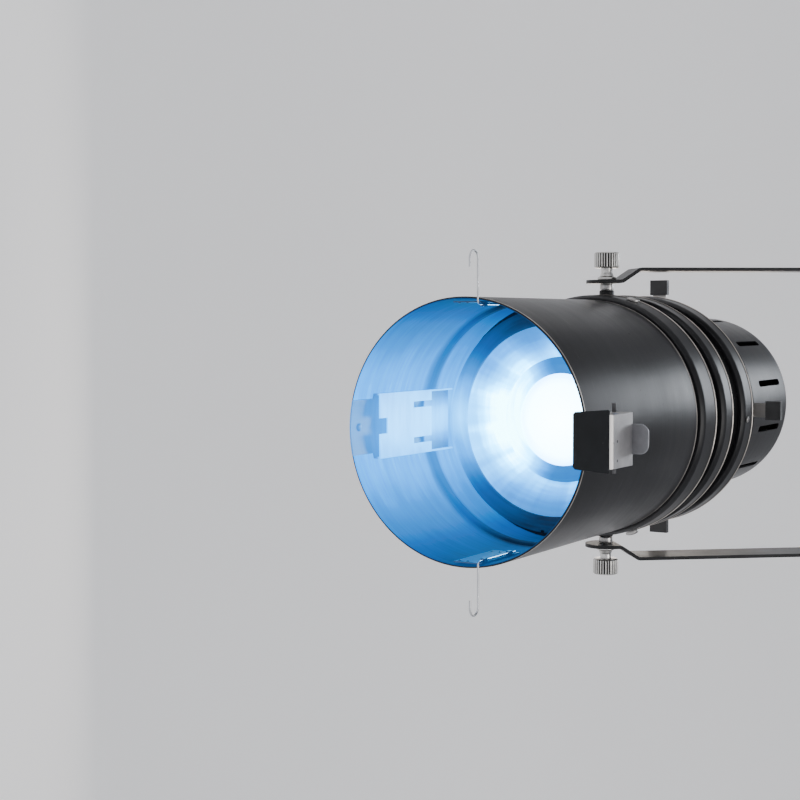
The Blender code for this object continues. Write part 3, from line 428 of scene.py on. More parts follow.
BLACK = paint("satin_black", (0.0055, 0.0055, 0.0065), (0.0105, 0.0105, 0.012), 0.38,
              edges=EDGE_DEPTHS, gloss=0.21)
STRIP_BLACK = paint("strip_black", (0.008, 0.008, 0.009), (0.014, 0.014, 0.015), 0.42,
                    turned_marks=False)
SHADOW_BLACK = paint("shadow_black", (0.0025, 0.0025, 0.003), (0.005, 0.005, 0.0055), 0.75,
                     gloss=0.06)
MATT = paint("matt_black", (0.006, 0.007, 0.009), (0.010, 0.012, 0.015), 0.62)
TURNED_STEEL = bare_metal("turned_steel", (0.44, 0.43, 0.42), (0.28, 0.275, 0.27), 0.24)
KNOB_STEEL = knurled_metal("knob_steel", (0.62, 0.61, 0.59), (0.012, 0.012, 0.012))
SHEET_STEEL = bare_metal("sheet_steel", (0.52, 0.50, 0.48), (0.40, 0.385, 0.37), 0.42, spots=True)
DARK_STEEL = bare_metal("dark_steel", (0.11, 0.11, 0.115), (0.05, 0.05, 0.052), 0.36)
WIRE_STEEL = bare_metal("wire_steel", (0.60, 0.61, 0.63), (0.44, 0.45, 0.47), 0.24)
INNER_SHEET = lit_metal(
    "inner_sheet", (0.003, 0.012, 0.028), 0.56,
    [(0.0, 0.77), (0.04, 0.67), (0.06, 0.58), (0.084, 0.43), (0.10, 0.25), (0.12, 0.12),
     (0.2, 0.06)], shadows=(0.1125,), gloss=0.03, metal=0.0)
BOWL_METAL = lit_metal(
    "spun_bowl", (0.05, 0.08, 0.11), 0.34,
    [(0.0, 0.90), (0.03, 0.84), (0.05, 0.70), (0.08, 0.59), (0.11, 0.52), (0.2, 0.48)],
    (0.076, 0.052, 0.24), fan_highlights=0.06)
CELL_FACE = lit_metal(
    "cell_face", (0.02, 0.05, 0.09), 0.50,
    [(0.0, 1.0), (0.05, 1.0), (0.065, 0.92), (0.08, 0.66), (0.09, 0.46), (0.2, 0.40)])
RING_FACE = lit_metal(
    "ring_face", (0.010, 0.012, 0.016), 0.60,
    [(0.0, 0.82), (0.03, 0.68), (0.045, 0.52), (0.065, 0.25), (0.085, 0.12), (0.11, 0.02),
     (0.2, 0.0)])
GUIDE_SHEET = lit_metal(
    "guide_sheet", (0.08, 0.12, 0.16), 0.36,
    [(0.0, 0.80), (0.012, 0.79), (0.03, 0.74), (0.09, 0.34), (0.125, 0.10), (0.2, 0.06)],
    (0.0925, 0.0965, -0.30))
HOOK_SHEET = lit_metal(
    "hook_sheet", (0.010, 0.025, 0.045), 0.30,
    [(0.0, 0.60), (0.09, 0.30), (0.125, 0.06), (0.2, 0.03)], gloss=0.5, metal=0.0)
REFLECTOR_METAL = bare_metal("reflector_metal", (0.76, 0.76, 0.77), (0.62, 0.62, 0.64), 0.20,
                             turned_marks=True)
LENS_GLASS = lit_glass("lens_glass", 18.0, LENS.outer)
LAMP_GLASS = lit_glass("lamp_glass", 20.0, 0.008)
# The latch is one bent sheet: its front lip is coloured near black as painted shade, its web and
# flanges light grey as painted light
LATCH_SHADED_LIP = paint("latch_shaded_lip", (0.005, 0.006, 0.007), (0.010, 0.011, 0.013), 0.45,
                   turned_marks=False, gloss=0.18)
LATCH_FRONT, LATCH_BACK = (corner.y for corner in head_box("gel_latch"))
# The web also gets painted highlight lines along its front bend and back edge
LATCH_LIT_SHEET = bare_metal("latch_lit_sheet", (0.47, 0.46, 0.46), (0.34, 0.335, 0.34), 0.38, spots=True,
                         edges=(LATCH_FRONT + 0.0008, LATCH_BACK - 0.0003))
TAB_STEEL = bare_metal("tab_steel", (0.27, 0.275, 0.29), (0.19, 0.19, 0.205), 0.34)
PLASTIC = moulded("black_plastic", (0.018, 0.018, 0.019), 0.50)
CERAMIC = moulded("ceramic", (0.62, 0.60, 0.55), 0.60)


# ---------------------------------------------------------------- mesh making
CARVED_SHARP = 34  # degrees: a steeper edge on a carved piece is drawn sharp


def new_object(name, data):
    made = bpy.data.objects.new(name, data)
    bpy.context.scene.collection.objects.link(made)
    return made


def settle(name, mesh, materials, body, nodes):
    """Makes a mesh a piece: its materials, the body it rides on and the CAD it stands for."""
    for material in materials:
        mesh.materials.append(material)
    piece = new_object(name, mesh)
    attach(piece, body)
    if nodes:
        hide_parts(*nodes)
    return piece


def softened(profile, radius, steps=3, closed=True):
    """Rounds each corner of a profile with a small arc."""
    points = [Vector(p) for p in profile]
    count = len(points)
    result = []
    for i, corner in enumerate(points):
        if not closed and i in (0, count - 1):
            result.append(corner)
            continue
        before, after = points[i - 1] - corner, points[(i + 1) % count] - corner
        if before.length < 1e-7 or after.length < 1e-7:
            result.append(corner)
            continue
        cut = min(radius, 0.45 * before.length, 0.45 * after.length)
        start = corner + before.normalized() * cut
        end = corner + after.normalized() * cut
        for k in range(steps + 1):
            t = k / steps
            result.append((1 - t) ** 2 * start + 2 * t * (1 - t) * corner + t ** 2 * end)
    return result


def lathe_mesh(name, profile, matrix, sides=144, closed=True, ribs=None):
    """Turns a profile of (along, radius) about +Z. `ribs` is (count, depth, from, to)."""
    verts, faces = [], []
    count = len(profile)
    for i in range(sides):
        angle = 2 * pi * i / sides
        for along, radius in profile:
            if ribs and ribs[2] <= along <= ribs[3] and radius > 0.0:
                wave = 0.5 - 0.5 * cos(ribs[0] * angle)
                radius -= ribs[1] * wave ** 2
            verts.append(matrix @ Vector((radius * cos(angle), radius * sin(angle), along)))
    last = count if closed else count - 1
    for i in range(sides):
        here, there = i * count, (i + 1) % sides * count
        for k in range(last):
            n = (k + 1) % count
            faces.append((here + k, there + k, there + n, here + n))
    mesh = bpy.data.meshes.new(name)
    mesh.from_pydata(verts, [], faces)
    shape = bmesh.new()
    shape.from_mesh(mesh)
    bmesh.ops.remove_doubles(shape, verts=shape.verts, dist=1e-7)
    bmesh.ops.recalc_face_normals(shape, faces=shape.faces)
    shape.to_mesh(mesh)
    shape.free()
    mesh.shade_smooth()
    mesh.set_sharp_from_angle(angle=radians(42))
    return mesh


def turned(name, profile, material, nodes, matrix=ALONG_BEAM, body=None, soft=0.0004, sides=144,
           solid=False, ribs=None):
    """A turned piece. A solid's profile starts and ends on the axis."""
    rounded = softened(profile, soft, closed=not solid)
    mesh = lathe_mesh(name, rounded, matrix, sides, closed=not solid, ribs=ribs)
    return settle(name, mesh, [material], body or BODY_OF[nodes[0]], nodes)


def prism_mesh(name, outline, length, matrix):
    """A flat outline in XY, extruded along +Z."""
    shape = bmesh.new()
    face = shape.faces.new([shape.verts.new((x, y, 0)) for x, y in outline])
    grown = bmesh.ops.extrude_face_region(shape, geom=[face])
    moved = [item for item in grown["geom"] if isinstance(item, bmesh.types.BMVert)]
    bmesh.ops.translate(shape, verts=moved, vec=(0, 0, length))
    bmesh.ops.recalc_face_normals(shape, faces=shape.faces)
    shape.transform(matrix)
    mesh = bpy.data.meshes.new(name)
    shape.to_mesh(mesh)
    shape.free()
    mesh.shade_smooth()
    mesh.set_sharp_from_angle(angle=radians(35))
    return mesh


def add_bevel(piece, width, segments=2):
    bevel = piece.modifiers.new("edges", "BEVEL")
    bevel.width = width
    bevel.segments = segments
    bevel.limit_method = "ANGLE"
    bevel.angle_limit = radians(38)


def carve(piece, cutters):
    """Cuts meshes out of a piece for good, and leaves no cutter behind."""
    tools = []
    for i, mesh in enumerate(cutters):
        tool = new_object(f"{piece.name}_tool_{i}", mesh)
        modifier = piece.modifiers.new(tool.name, "BOOLEAN")
        modifier.operation = "DIFFERENCE"
        modifier.object = tool
        tools.append(tool)
    graph = bpy.context.evaluated_depsgraph_get()
    carved = bpy.data.meshes.new_from_object(piece.evaluated_get(graph))
    piece.modifiers.clear()
    carved.shade_smooth()
    carved.set_sharp_from_angle(angle=radians(CARVED_SHARP))
    piece.data = carved
    for tool in tools:
        bpy.data.objects.remove(tool, do_unlink=True)


def placed(base, direction):
    """The matrix that takes +Z to `direction` at `base`, both in the head's frame."""
    turn = Vector(direction).to_track_quat("Z", "Y").to_matrix().to_4x4()
    return HEAD @ Matrix.Translation(base) @ turn


def arc(centre, radius, start, end, steps):
    angles = [radians(start + (end - start) * i / steps) for i in range(steps + 1)]
    return [(centre[0] + radius * cos(a), centre[1] + radius * sin(a)) for a in angles]


def box_mesh(name, low, high, matrix):
    outline = [(low[0], low[1]), (high[0], low[1]), (high[0], high[1]), (low[0], high[1])]
    return prism_mesh(name, outline, high[2] - low[2],
                      matrix @ Matrix.Translation((0, 0, low[2])))


def round_beam(angle):
    """Turns a shape drawn for the top side round the beam's axis."""
    return HEAD @ Matrix.Rotation(radians(angle), 4, "Y")


def bent_strip(path, thickness):
    """The closed outline of a strip whose middle follows a path."""
    left, right = [], []
    for i, point in enumerate(path):
        here = Vector(point)
        before = (here - Vector(path[i - 1])).normalized() if i else None
        after = (Vector(path[i + 1]) - here).normalized() if i + 1 < len(path) else None
        along = ((before or after) + (after or before)).normalized()
        across = Vector((-along.y, along.x))
        reach = thickness / 2 / max(along.dot(after or before), 0.3)
        left.append(here + across * reach)
        right.append(here - across * reach)
    return left + right[::-1]


# ---------------------------------------------------------------- barrel and bands
def add_barrel():
    front, rear, inner, outer = BARREL
    lip = 0.0011  # the rolled mouth and rear edges
    lit_to = CARRIAGE.rear + 0.012  # the wall is dark beside and behind the lens carriage
    outline = [(front, inner), (front, outer), (rear - 0.0032, outer),
               (rear - 0.0026, outer - 0.0003), (rear - 0.0020, outer), (rear, outer - 0.0001),
               (rear, inner), (lit_to, inner)]
    mesh = lathe_mesh("barrel_tube", softened(outline, lip / 2), ALONG_BEAM, 192)
    piece = settle("barrel_tube", mesh, [BLACK, INNER_SHEET], "head", ["lens_barrel"])
    knob = measure("focus_knob")
    centre = (knob.front + knob.rear) / 2
    travel = JOINTS["focus_slide"]["range_m"][1]
    half, depth = 0.0036, 0.02
    slot = arc((0, centre), half, 180, 360, 12) + arc((0, centre + travel), half, 0, 180, 12)
    below = HEAD @ Matrix.Translation((0, 0, -outer - depth / 2))
    carve(piece, [prism_mesh("focus_slot", slot, depth, below)])
    to_head = HEAD.inverted()
    for face in piece.data.polygons:
        middle = to_head @ face.center
        if middle.y < lit_to and hypot(middle.x, middle.z) < (inner + outer) / 2 - 0.0003:
            face.material_index = 1

    stop = measure("lens_stop_ring")
    middle = (stop.front + stop.rear) / 2
    half, height = stop.rear - middle, stop.outer - stop.inner
    bead = [(middle + half * cos(a), stop.outer - height * sin(a))
            for a in [pi - pi * i / 12 for i in range(13)]]
    ring = turned("stop_bead", bead, INNER_SHEET, ["lens_stop_ring"], soft=0.0001)
    guide_half = 0.027  # the bead stops either side of the lower guide
    carve(ring, [box_mesh("gap", (-guide_half, stop.front - 0.01, -0.11),
                          (guide_half, stop.rear + 0.01, -0.08), HEAD)])


def add_bands():
    thick, foot, shoulder_length, roll = 0.0014, 0.1014, 0.006, 0.0010
    for name, (front, rear, inner, outer) in BANDS.items():
        body = outer - 0.0008
        shoulder = [(front + shoulder_length * i / 6, foot + (body - foot) * sin(pi / 2 * i / 6))
                    for i in range(7)]
        bead = [(rear - roll + roll * cos(a), body - 0.0002 + roll * sin(a))
                for a in [pi * 0.75 - pi * 0.75 * i / 6 for i in range(7)]]
        outline = [(front, inner)] + shoulder + [(rear - 0.0026, body)] + bead
        outline += [(rear, body - thick), (front + shoulder_length, body - thick),
                    (front + thick, inner)]
        turned(f"{name}_band", outline, BLACK, [f"{name}_vent_band"], soft=0.0002, sides=192)

    front, rear, inner, outer = SHELL
    body, wall, flange, plate = 0.0982, 0.0018, 0.004, 0.002
    outline = [(front, body - wall), (front, body), (rear - flange, body), (rear - flange, outer),
               (rear, outer), (rear, inner), (rear - plate, inner), (rear - plate, body - wall)]
    turned("shell", outline, SHADOW_BLACK, ["housing_shell"], soft=0.0005, sides=192)


add_barrel()
add_bands()


# ---------------------------------------------------------------- optics in the barrel
def add_optics():
    front, rear, inner, outer = CARRIAGE
    outline = [(front, inner), (front, outer), (rear, outer), (rear, inner)]
    ring = turned("dark_ring", outline, RING_FACE, ["lens_retaining_ring"], soft=0.0004, sides=192)
    carve(ring, [box_mesh("notch", (-0.002, front - 0.01, outer - 0.002),
                          (0.002, rear + 0.01, outer + 0.01), round_beam(94.5))])
    steps, sheet = 14, 0.0012
    mouth, throat = 0.0790, CELL.outer + 0.0003
    inside = []
    for i in range(steps + 1):
        t = i / steps
        depth = BOWL.front + (BOWL.rear - sheet - BOWL.front) * t ** 1.25
        inside.append((depth, mouth + (throat - mouth) * t ** 0.85))
    outside = [(depth + sheet, radius + sheet / 2) for depth, radius in reversed(inside[1:])]
    outline = [(BOWL.front, BOWL.outer)] + inside + outside
    outline += [(BOWL.front + sheet, mouth + 0.0008), (BOWL.front + sheet, BOWL.outer)]
    turned("bowl", outline, BOWL_METAL, ["spun_baffle"], soft=0.0002, sides=192)

    front, rear, inner, outer = CELL
    wall, face = 0.0015, 0.002
    outline = [(front, inner), (front, outer), (rear, outer), (rear, outer - wall),
               (front + face, outer - wall), (front + face, inner)]
    turned("cell", outline, CELL_FACE, ["lens_cell"], soft=0.0004)
    clear = inner - 0.0003
    seat = LENS.rear - 0.004
    bulge = seat - LENS.front
    sphere = (clear ** 2 + bulge ** 2) / (2 * bulge)
    dome = []
    for i in range(17):
        at = clear * i / 16
        dome.append((LENS.front + sphere - sqrt(sphere ** 2 - at ** 2), at))
    profile = dome + [(seat, LENS.outer), (LENS.rear, LENS.outer), (LENS.rear, 0.0)]
    turned("lens", profile, LENS_GLASS, ["front_lens"], soft=0.0003, solid=True)


add_optics()


# ---------------------------------------------------------------- knobs, pivots, screws
def along_side(sign):
    return placed((0, PIVOT_DEPTH, 0), (sign, 0, 0))


def side_reach(name):
    """How far a CAD piece reaches out from the head's middle plane, and its own radius."""
    low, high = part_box(name)
    near = min(abs(low.x), abs(high.x))
    return near, max(abs(low.x), abs(high.x)), (high.z - low.z) / 2


def add_pivots():
    for side, sign in SIDES.items():
        near, far, radius = side_reach(f"tilt_knob_{side}")
        stud, washer, neck = 0.0036, 0.0080, 0.0048
        grip = far - 0.014
        seat = side_reach(f"pivot_spacer_{side}")[1] + 0.0036
        profile = [(near, 0.0), (near, stud), (seat, stud), (seat, washer),
                   (seat + 0.0021, washer), (seat + 0.0030, 0.0062), (grip - 0.0040, neck),
                   (grip, neck), (grip, radius - 0.001), (grip + 0.001, radius),
                   (far - 0.0012, radius), (far - 0.0002, radius - 0.0010),
                   (far - 0.0002, 0.0060), (far - 0.0008, 0.0052), (far - 0.0008, 0.0)]
        ribs = (28, 0.0017, grip + 0.0008, far - 0.0010)
        turned(f"knurled_knob_{side}", profile, KNOB_STEEL, [f"tilt_knob_{side}"],
               along_side(sign), soft=0.0003, sides=216, solid=True, ribs=ribs)
        near, far, radius = side_reach(f"pivot_spacer_{side}")
        bore = 0.0039
        turned(f"spacer_{side}", [(near, bore), (near, radius), (far, radius), (far, bore)],
               TURNED_STEEL, [f"pivot_spacer_{side}"], along_side(sign), soft=0.0005, sides=64)
        near, far, radius = side_reach(f"pivot_boss_{side}")
        turned(f"boss_{side}", [(near, bore), (near, radius), (far - 0.001, radius),
                                (far, radius - 0.0008), (far, bore)],
               BLACK, [f"pivot_boss_{side}"], along_side(sign), soft=0.0004, sides=64)


def add_screw(name, node_name, matrix, stem_end, seat, head_radius, head_height, stem_radius,
              slot_turn=0.0):
    """A pan-head screw with a driver slot. Distances run outwards along its axis."""
    crown = [(seat + head_height * (0.45 + 0.55 * sin(a)), head_radius * cos(a))
             for a in [pi / 2 * i / 6 for i in range(7)]]
    profile = [(stem_end, 0.0), (stem_end, stem_radius), (seat, stem_radius), (seat, head_radius)]
    profile += crown[:-1] + [(seat + head_height, 0.0)]
    piece = turned(name, profile, TURNED_STEEL, [node_name], matrix, soft=0.0001, sides=48,
                   solid=True)
    width = head_radius * 0.13
    slot = box_mesh("slot", (-width, -2 * head_radius, seat + head_height * 0.55),
                    (width, 2 * head_radius, seat + head_height * 2),
                    matrix @ Matrix.Rotation(radians(slot_turn), 4, "Z"))
    carve(piece, [slot])


def add_screws():
    def middle_of(node_name):
        low, high = head_box(node_name)
        return (low + high) / 2

    big, small = (0.0055, 0.0036, 0.0022), (0.0026, 0.0016, 0.0012)
    for node_name, sizes in (("housing_screw_left", big), ("housing_screw_right", big),
                             ("rear_band_screw", small)):
        head_radius, height, stem = sizes
        middle = middle_of(node_name)
        ring = measure(node_name)
        outward = Vector((middle.x, 0, middle.z)).normalized()
        matrix = placed((0, middle.y, 0), outward)
        seat = ring.outer - height if sizes is big else REAR_BAND.outer - 0.0005
        add_screw(f"{node_name}_head", node_name, matrix, ring.inner + 0.0001, seat, head_radius,
                  min(height, ring.outer - seat) * 0.98, stem, slot_turn=25)
    for side, sign in SIDES.items():
        name = f"cap_screw_{side}"
        middle = middle_of(name)
        ring = measure(name)
        matrix = placed((middle.x, 0, 0), (0, 1, 0))
        add_screw(f"{name}_head", name, matrix, ring.front, CAP.rear + 0.0003, 0.0055,
                  ring.rear - CAP.rear - 0.0004, 0.0022, slot_turn=60 * sign)


add_pivots()
add_screws()


def add_other_knobs():
    ring = measure("focus_knob")
    centre = (ring.front + ring.rear) / 2
    near, far = 0.0893, 0.1145
    matrix = placed((0, centre, 0), (0, 0, -1))
    seat, washer_top, grip, crest = BARREL.outer + 0.0003, 0.1018, 0.1035, 0.0090
    profile = [(near, 0.0), (near, 0.0028), (seat, 0.0028), (seat, 0.0075), (washer_top, 0.0075),
               (washer_top, 0.0060), (grip, 0.0060), (grip, 0.0082), (grip + 0.0010, crest),
               (far - 0.0010, crest), (far, crest - 0.0010), (far, 0.0048), (far - 0.0006, 0.0042),
               (far - 0.0006, 0.0)]
    turned("focus_grip", profile, TURNED_STEEL, ["focus_knob"], matrix, soft=0.0003, sides=180,
           solid=True, ribs=(30, 0.0009, grip + 0.0009, far - 0.0009))
    ring = measure("lamp_adjust_knob")
    seat, far, radius = CAP.rear + 0.0003, ring.rear, ring.outer
    profile = [(ring.front, 0.0), (ring.front, 0.0022), (seat, 0.0022), (seat, radius - 0.001),
               (seat + 0.001, radius), (far - 0.0012, radius), (far, radius - 0.0014),
               (far, 0.0062), (far - 0.0008, 0.0055), (far - 0.0008, 0.0)]
    turned("lamp_grip", profile, PLASTIC, ["lamp_adjust_knob"], soft=0.0003, sides=180,
           solid=True, ribs=(24, 0.0009, seat + 0.0009, far - 0.0011))


add_other_knobs()


# ---------------------------------------------------------------- latch
def latch_plate(name, outline, start, end, lie, material, bevel, nodes=()):
    """A flat piece of the latch between two places along its own thickness."""
    mesh = prism_mesh(name, outline, end - start, HEAD @ lie @ Matrix.Translation((0, 0, start)))
    piece = settle(name, mesh, [material], "latch", list(nodes))
    add_bevel(piece, bevel)


def add_latch():
    low, high = head_box("gel_latch")
    sheet = 0.0015
    web_top = high.z - 0.012
    front, back = low.y, high.y
    wide, narrow = high.x, high.x - 0.002
    bend, corner, cut = 0.0024, 0.0016, 0.0008
    lip_low, lip_top = low.z, web_top - 0.0022
    lip = [(-narrow, lip_low + corner), (-narrow + corner, lip_low), (narrow - corner, lip_low),
           (narrow, lip_low + corner), (wide, lip_top - cut), (wide - cut, lip_top),
           (-wide + cut, lip_top), (-wide, lip_top - cut)]
    # The lip in near black as painted shade; the web and flanges below in light grey as painted
    # light
    latch_plate("latch_lip", lip, front, front + sheet, FACE_ON, LATCH_SHADED_LIP, 0.00035, ["gel_latch"])
    middle = front + sheet / 2 + 0.0002
    path = [(middle, web_top - 0.008)]
    path += arc((middle + bend, web_top - sheet / 2 - bend), bend, 180, 90, 8)
    path += [(back - sheet / 2, web_top - sheet / 2)]
    web_half = 0.0185
    latch_plate("latch_web", bent_strip(path, sheet), -web_half, web_half, SIDE_ON, LATCH_LIT_SHEET,
                0.0003)
    tab_half, round_off = 0.0105, 0.0065
    tab = [(-tab_half, web_top - sheet), (tab_half, web_top - sheet)]
    tab += arc((tab_half - round_off, high.z - round_off), round_off, 0, 90, 10)
    tab += arc((-tab_half + round_off, high.z - round_off), round_off, 90, 180, 10)
    latch_plate("latch_tab", tab, back - sheet, back, FACE_ON, TAB_STEEL, 0.0004)
    pin_depth, pin_up = LATCH_PIN
    bow = arc((pin_depth, pin_up), 0.0044, 180, 360, 16)
    flange = bow + [(back, web_top - sheet), (pin_depth - 0.014, web_top - sheet)]
    for side, sign in SIDES.items():
        start, end = sorted((sign * (web_half - sheet), sign * web_half))
        latch_plate(f"latch_flange_{side}", flange, start, end, SIDE_ON, LATCH_LIT_SHEET, 0.0003)
    for side, x in (("middle", 0.0), ("right", 0.0132)):
        matrix = placed((x, front + 0.24 * (back - front), 0), (0, 0, 1))
        top = web_top - 0.0002
        dot = [(top - 0.0012, 0.0), (top - 0.0012, 0.0013), (top + 0.00015, 0.0013),
               (top + 0.00025, 0.0007), (top + 0.00025, 0.0)]
        mesh = lathe_mesh(f"latch_rivet_{side}", softened(dot, 0.0001, closed=False), matrix, 24,
                          closed=False)
        settle(f"latch_rivet_{side}", mesh, [DARK_STEEL], "latch", [])


def joint_place(name):
    return HEAD.inverted() @ Vector(JOINTS[name]["pos_m"])


LATCH_PIN = joint_place("latch_hinge").yz
add_latch()


def tube(name, points, radius, body, node_name):
    """A bent wire through points in the head's frame, with flat ends."""
    curve = bpy.data.curves.new(name, "CURVE")
    curve.dimensions = "3D"
    curve.bevel_depth = radius
    curve.bevel_resolution = 4
    curve.use_fill_caps = True
    curve.resolution_u = 1
    spline = curve.splines.new("POLY")
    spline.points.add(len(points) - 1)
    for point, place in zip(spline.points, points):
        point.co = (*(HEAD @ Vector(place)), 1)
    curve.materials.append(WIRE_STEEL)
    piece = new_object(name, curve)
    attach(piece, body)
    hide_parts(node_name)


def add_wires():
    for side, sign in SIDES.items():
        node_name = f"wire_hook_{side}"
        radius = 0.00078
        place = joint_place(f"{node_name}_swing")
        leg, lift = abs(place.x), place.z
        ring = measure(node_name)
        reach = side_reach(node_name)[1] - radius
        front, nose, drop, bend = -0.0014, 0.0122, 0.006, 0.003
        loop = nose / 2
        path = [(ring.rear - radius, leg)]
        path += [(front + bend - bend * sin(a), leg + bend - bend * cos(a))
                 for a in [pi / 2 * i / 8 for i in range(9)]]
        path += [(front - loop + loop * cos(a), reach - loop + loop * sin(a))
                 for a in [pi * i / 24 for i in range(25)]]
        path += [(front - nose, reach - loop - drop)]
        tube(f"hook_{side}", [(sign * x, depth, lift) for depth, x in path], radius,
             BODY_OF[node_name], node_name)
    pin_depth, pin_up = LATCH_PIN
    turns, coil, pitch = 5, 0.0030, 0.0026
    steps = 22
    coils = [(pitch * (i / steps - turns / 2), pin_depth + coil * cos(2 * pi * i / steps),
              pin_up + coil * sin(2 * pi * i / steps)) for i in range(turns * steps + 1)]
    tube("spring_coil", coils, 0.00048, "head", "latch_spring")


add_wires()


# ---------------------------------------------------------------- yoke
def add_yoke():
    low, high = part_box("yoke_frame")
    thick, width = 0.003, high.y - low.y
    pivot_x = side_reach("pivot_spacer_right")[1] + 0.0003 + thick / 2
    upper_x = high.x - thick / 2
    top, axis = high.z - thick / 2, PIVOT.z
    bend, joggle_low, joggle_high = 0.007, 0.010, 0.025
    right = arc((upper_x - bend, top - bend), bend, 90, 0, 12)
    right += [(upper_x, axis + joggle_high + 0.002), (upper_x - 0.0003, axis + joggle_high),
              (pivot_x + 0.0003, axis + joggle_low), (pivot_x, axis + joggle_low - 0.002),
              (pivot_x, axis - width / 2)]
    path = [(-x, z) for x, z in reversed(right)] + right
    mesh = prism_mesh("yoke_strip", bent_strip(path, thick), width,
                      Matrix.Translation((0, low.y, 0)) @ FACE_ON)
    piece = settle("yoke_strip", mesh, [STRIP_BLACK], "yoke", ["yoke_frame"])
    half, far, length = width / 2, width * 0.75, 0.30
    through = Matrix.Translation((-length / 2, 0, axis)) @ SIDE_ON
    ends = arc((0, 0), half, 180, 360, 36) + [(far, 0), (far, -far), (-far, -far), (-far, 0)]
    eye = arc((0, 0), 0.0042, 0, 337.5, 31)
    holes = [prism_mesh("ends", ends, length, through), prism_mesh("eye", eye, length, through)]
    for x, radius in ((0.0, 0.0065), (-0.040, 0.0045), (0.040, 0.0045)):
        ring = arc((0, 0), radius, 0, 348.75, 31)
        holes.append(prism_mesh("hole", ring, 0.02, Matrix.Translation((x, 0, -0.01))))
    carve(piece, holes)
    add_bevel(piece, 0.0005, 3)


add_yoke()


# ---------------------------------------------------------------- gate and lamp house
def add_gate():
    front, rear, inner, outer = GATE
    outline = [(front, inner), (front, outer), (rear, outer), (rear, inner)]
    piece = turned("gate_ring", outline, BLACK, ["gate_housing"], soft=0.0006)
    slots = []
    half, gap = 0.0075, 0.0011
    for side, angle in (("top", 0), ("right", 90), ("bottom", 180), ("left", 270)):
        ring = measure(f"shutter_{side}")
        middle = (ring.front + ring.rear) / 2
        slots.append(box_mesh("slot", (-half, middle - gap, inner - 0.01),
                              (half, middle + gap, outer + 0.01), round_beam(angle)))
    holder = measure("pattern_holder")
    middle = (holder.front + holder.rear) / 2
    half, gap = 0.047, 0.0018
    slots.append(box_mesh("slot", (-half, middle - gap, 0.04), (half, middle + gap, 0.09), HEAD))
    carve(piece, slots)


def add_lamp_house():
    wall = 0.002
    front, rear, inner, outer = REAR
    bend, opening = 0.014, 0.070
    outline = [(front, opening), (front, outer - 0.003), (front + 0.003, outer)]
    outline += arc((rear - bend, outer - bend), bend, 90, 30, 8)
    outline += [(rear, 0.071), (rear, inner), (rear - wall, inner), (rear - wall, 0.070),
                (rear - 0.015, outer - wall), (front + wall, outer - wall), (front + wall, opening)]
    piece = turned("lamp_house", outline, BLACK, ["rear_housing"], soft=0.0006)
    count, half, vent_from, vent_to, deep = 12, 0.003, 0.425, 0.485, 0.02
    vent = arc((0, vent_from + half), half, 180, 360, 8) + arc((0, vent_to - half), half, 0, 180, 8)
    outside = Matrix.Translation((0, 0, outer - deep / 2))
    carve(piece, [prism_mesh("vent", vent, deep, round_beam(360 * (i + 0.5) / count) @ outside)
                  for i in range(count)])

    front, rear, inner, outer = CAP
    bend = 0.007
    profile = [(front, outer - wall), (front, outer)]
    profile += arc((rear - bend, outer - bend), bend, 90, 20, 6)
    profile += [(rear, outer - 0.010), (rear, inner), (rear - wall, inner),
                (rear - wall, outer - 0.011), (rear - 0.008, outer - wall)]
    cap = turned("back_cap", profile, BLACK, ["rear_cap"], soft=0.0005)
    holes = []
    for sign in SIDES.values():
        matrix = placed((sign * 0.050, 0, 0), (0, 1, 0))
        holes.append(lathe_mesh("hole", [(0.52, 0.0), (0.52, 0.0025), (0.54, 0.0025), (0.54, 0.0)],
                                matrix, 24, closed=False))
    carve(cap, holes)

    ring = measure("cable_gland")
    middle = (ring.front + ring.rear) / 2
    matrix = placed((0, middle, 0), (0, 0, -1))
    near = CAP.outer + 0.0003
    far = near + 0.018
    nut, sleeve, groove, bore = 0.0064, 0.0058, 0.0053, 0.0034
    outline = [(near, 0.0), (near, nut), (near + 0.003, nut), (near + 0.003, sleeve)]
    for i in range(5):
        at = near + 0.0038 + 0.0020 * i
        outline += [(at, sleeve), (at + 0.0005, groove), (at + 0.0013, groove),
                    (at + 0.0018, sleeve)]
    outline += [(far - 0.0035, 0.0056), (far, 0.0046), (far, bore), (near + 0.004, bore),
                (near + 0.004, 0.0)]
    turned("gland", outline, PLASTIC, ["cable_gland"], matrix, soft=0.0002, sides=72, solid=True)


add_gate()
add_lamp_house()

# ---------------------------------------------------------------- CAD pieces that keep their shape
FINISHES = {
    "lens_tube": MATT, "lens_spacer": MATT, "lens_bulkhead": MATT, "rear_lens": LENS_GLASS,
    "lens_lock_ring": SHEET_STEEL, "guide_ring_front": PLASTIC, "guide_ring_rear": PLASTIC,
    "latch_bracket": DARK_STEEL, "latch_pin": DARK_STEEL, "lower_guide": GUIDE_SHEET,
    "hook_plate_left": HOOK_SHEET, "hook_plate_right": HOOK_SHEET,
    "aperture_plate": SHEET_STEEL, "shutter_backplate": SHEET_STEEL,
    "reflector": REFLECTOR_METAL, "pattern_holder": SHEET_STEEL, "lamp_socket": CERAMIC,
    "lamp_base": CERAMIC, "lamp_bulb": LAMP_GLASS,
}
BEVELS = {"lower_guide": 0.00025, "hook_plate_left": 0.0002, "hook_plate_right": 0.0002,
          "latch_bracket": 0.0003, "pattern_holder": 0.0003}
for side in ("top", "bottom", "left", "right"):
    FINISHES[f"shutter_{side}"] = SHEET_STEEL
    FINISHES[f"shutter_grip_{side}"] = PLASTIC
    BEVELS[f"shutter_{side}"] = 0.0002
    BEVELS[f"shutter_grip_{side}"] = 0.0012
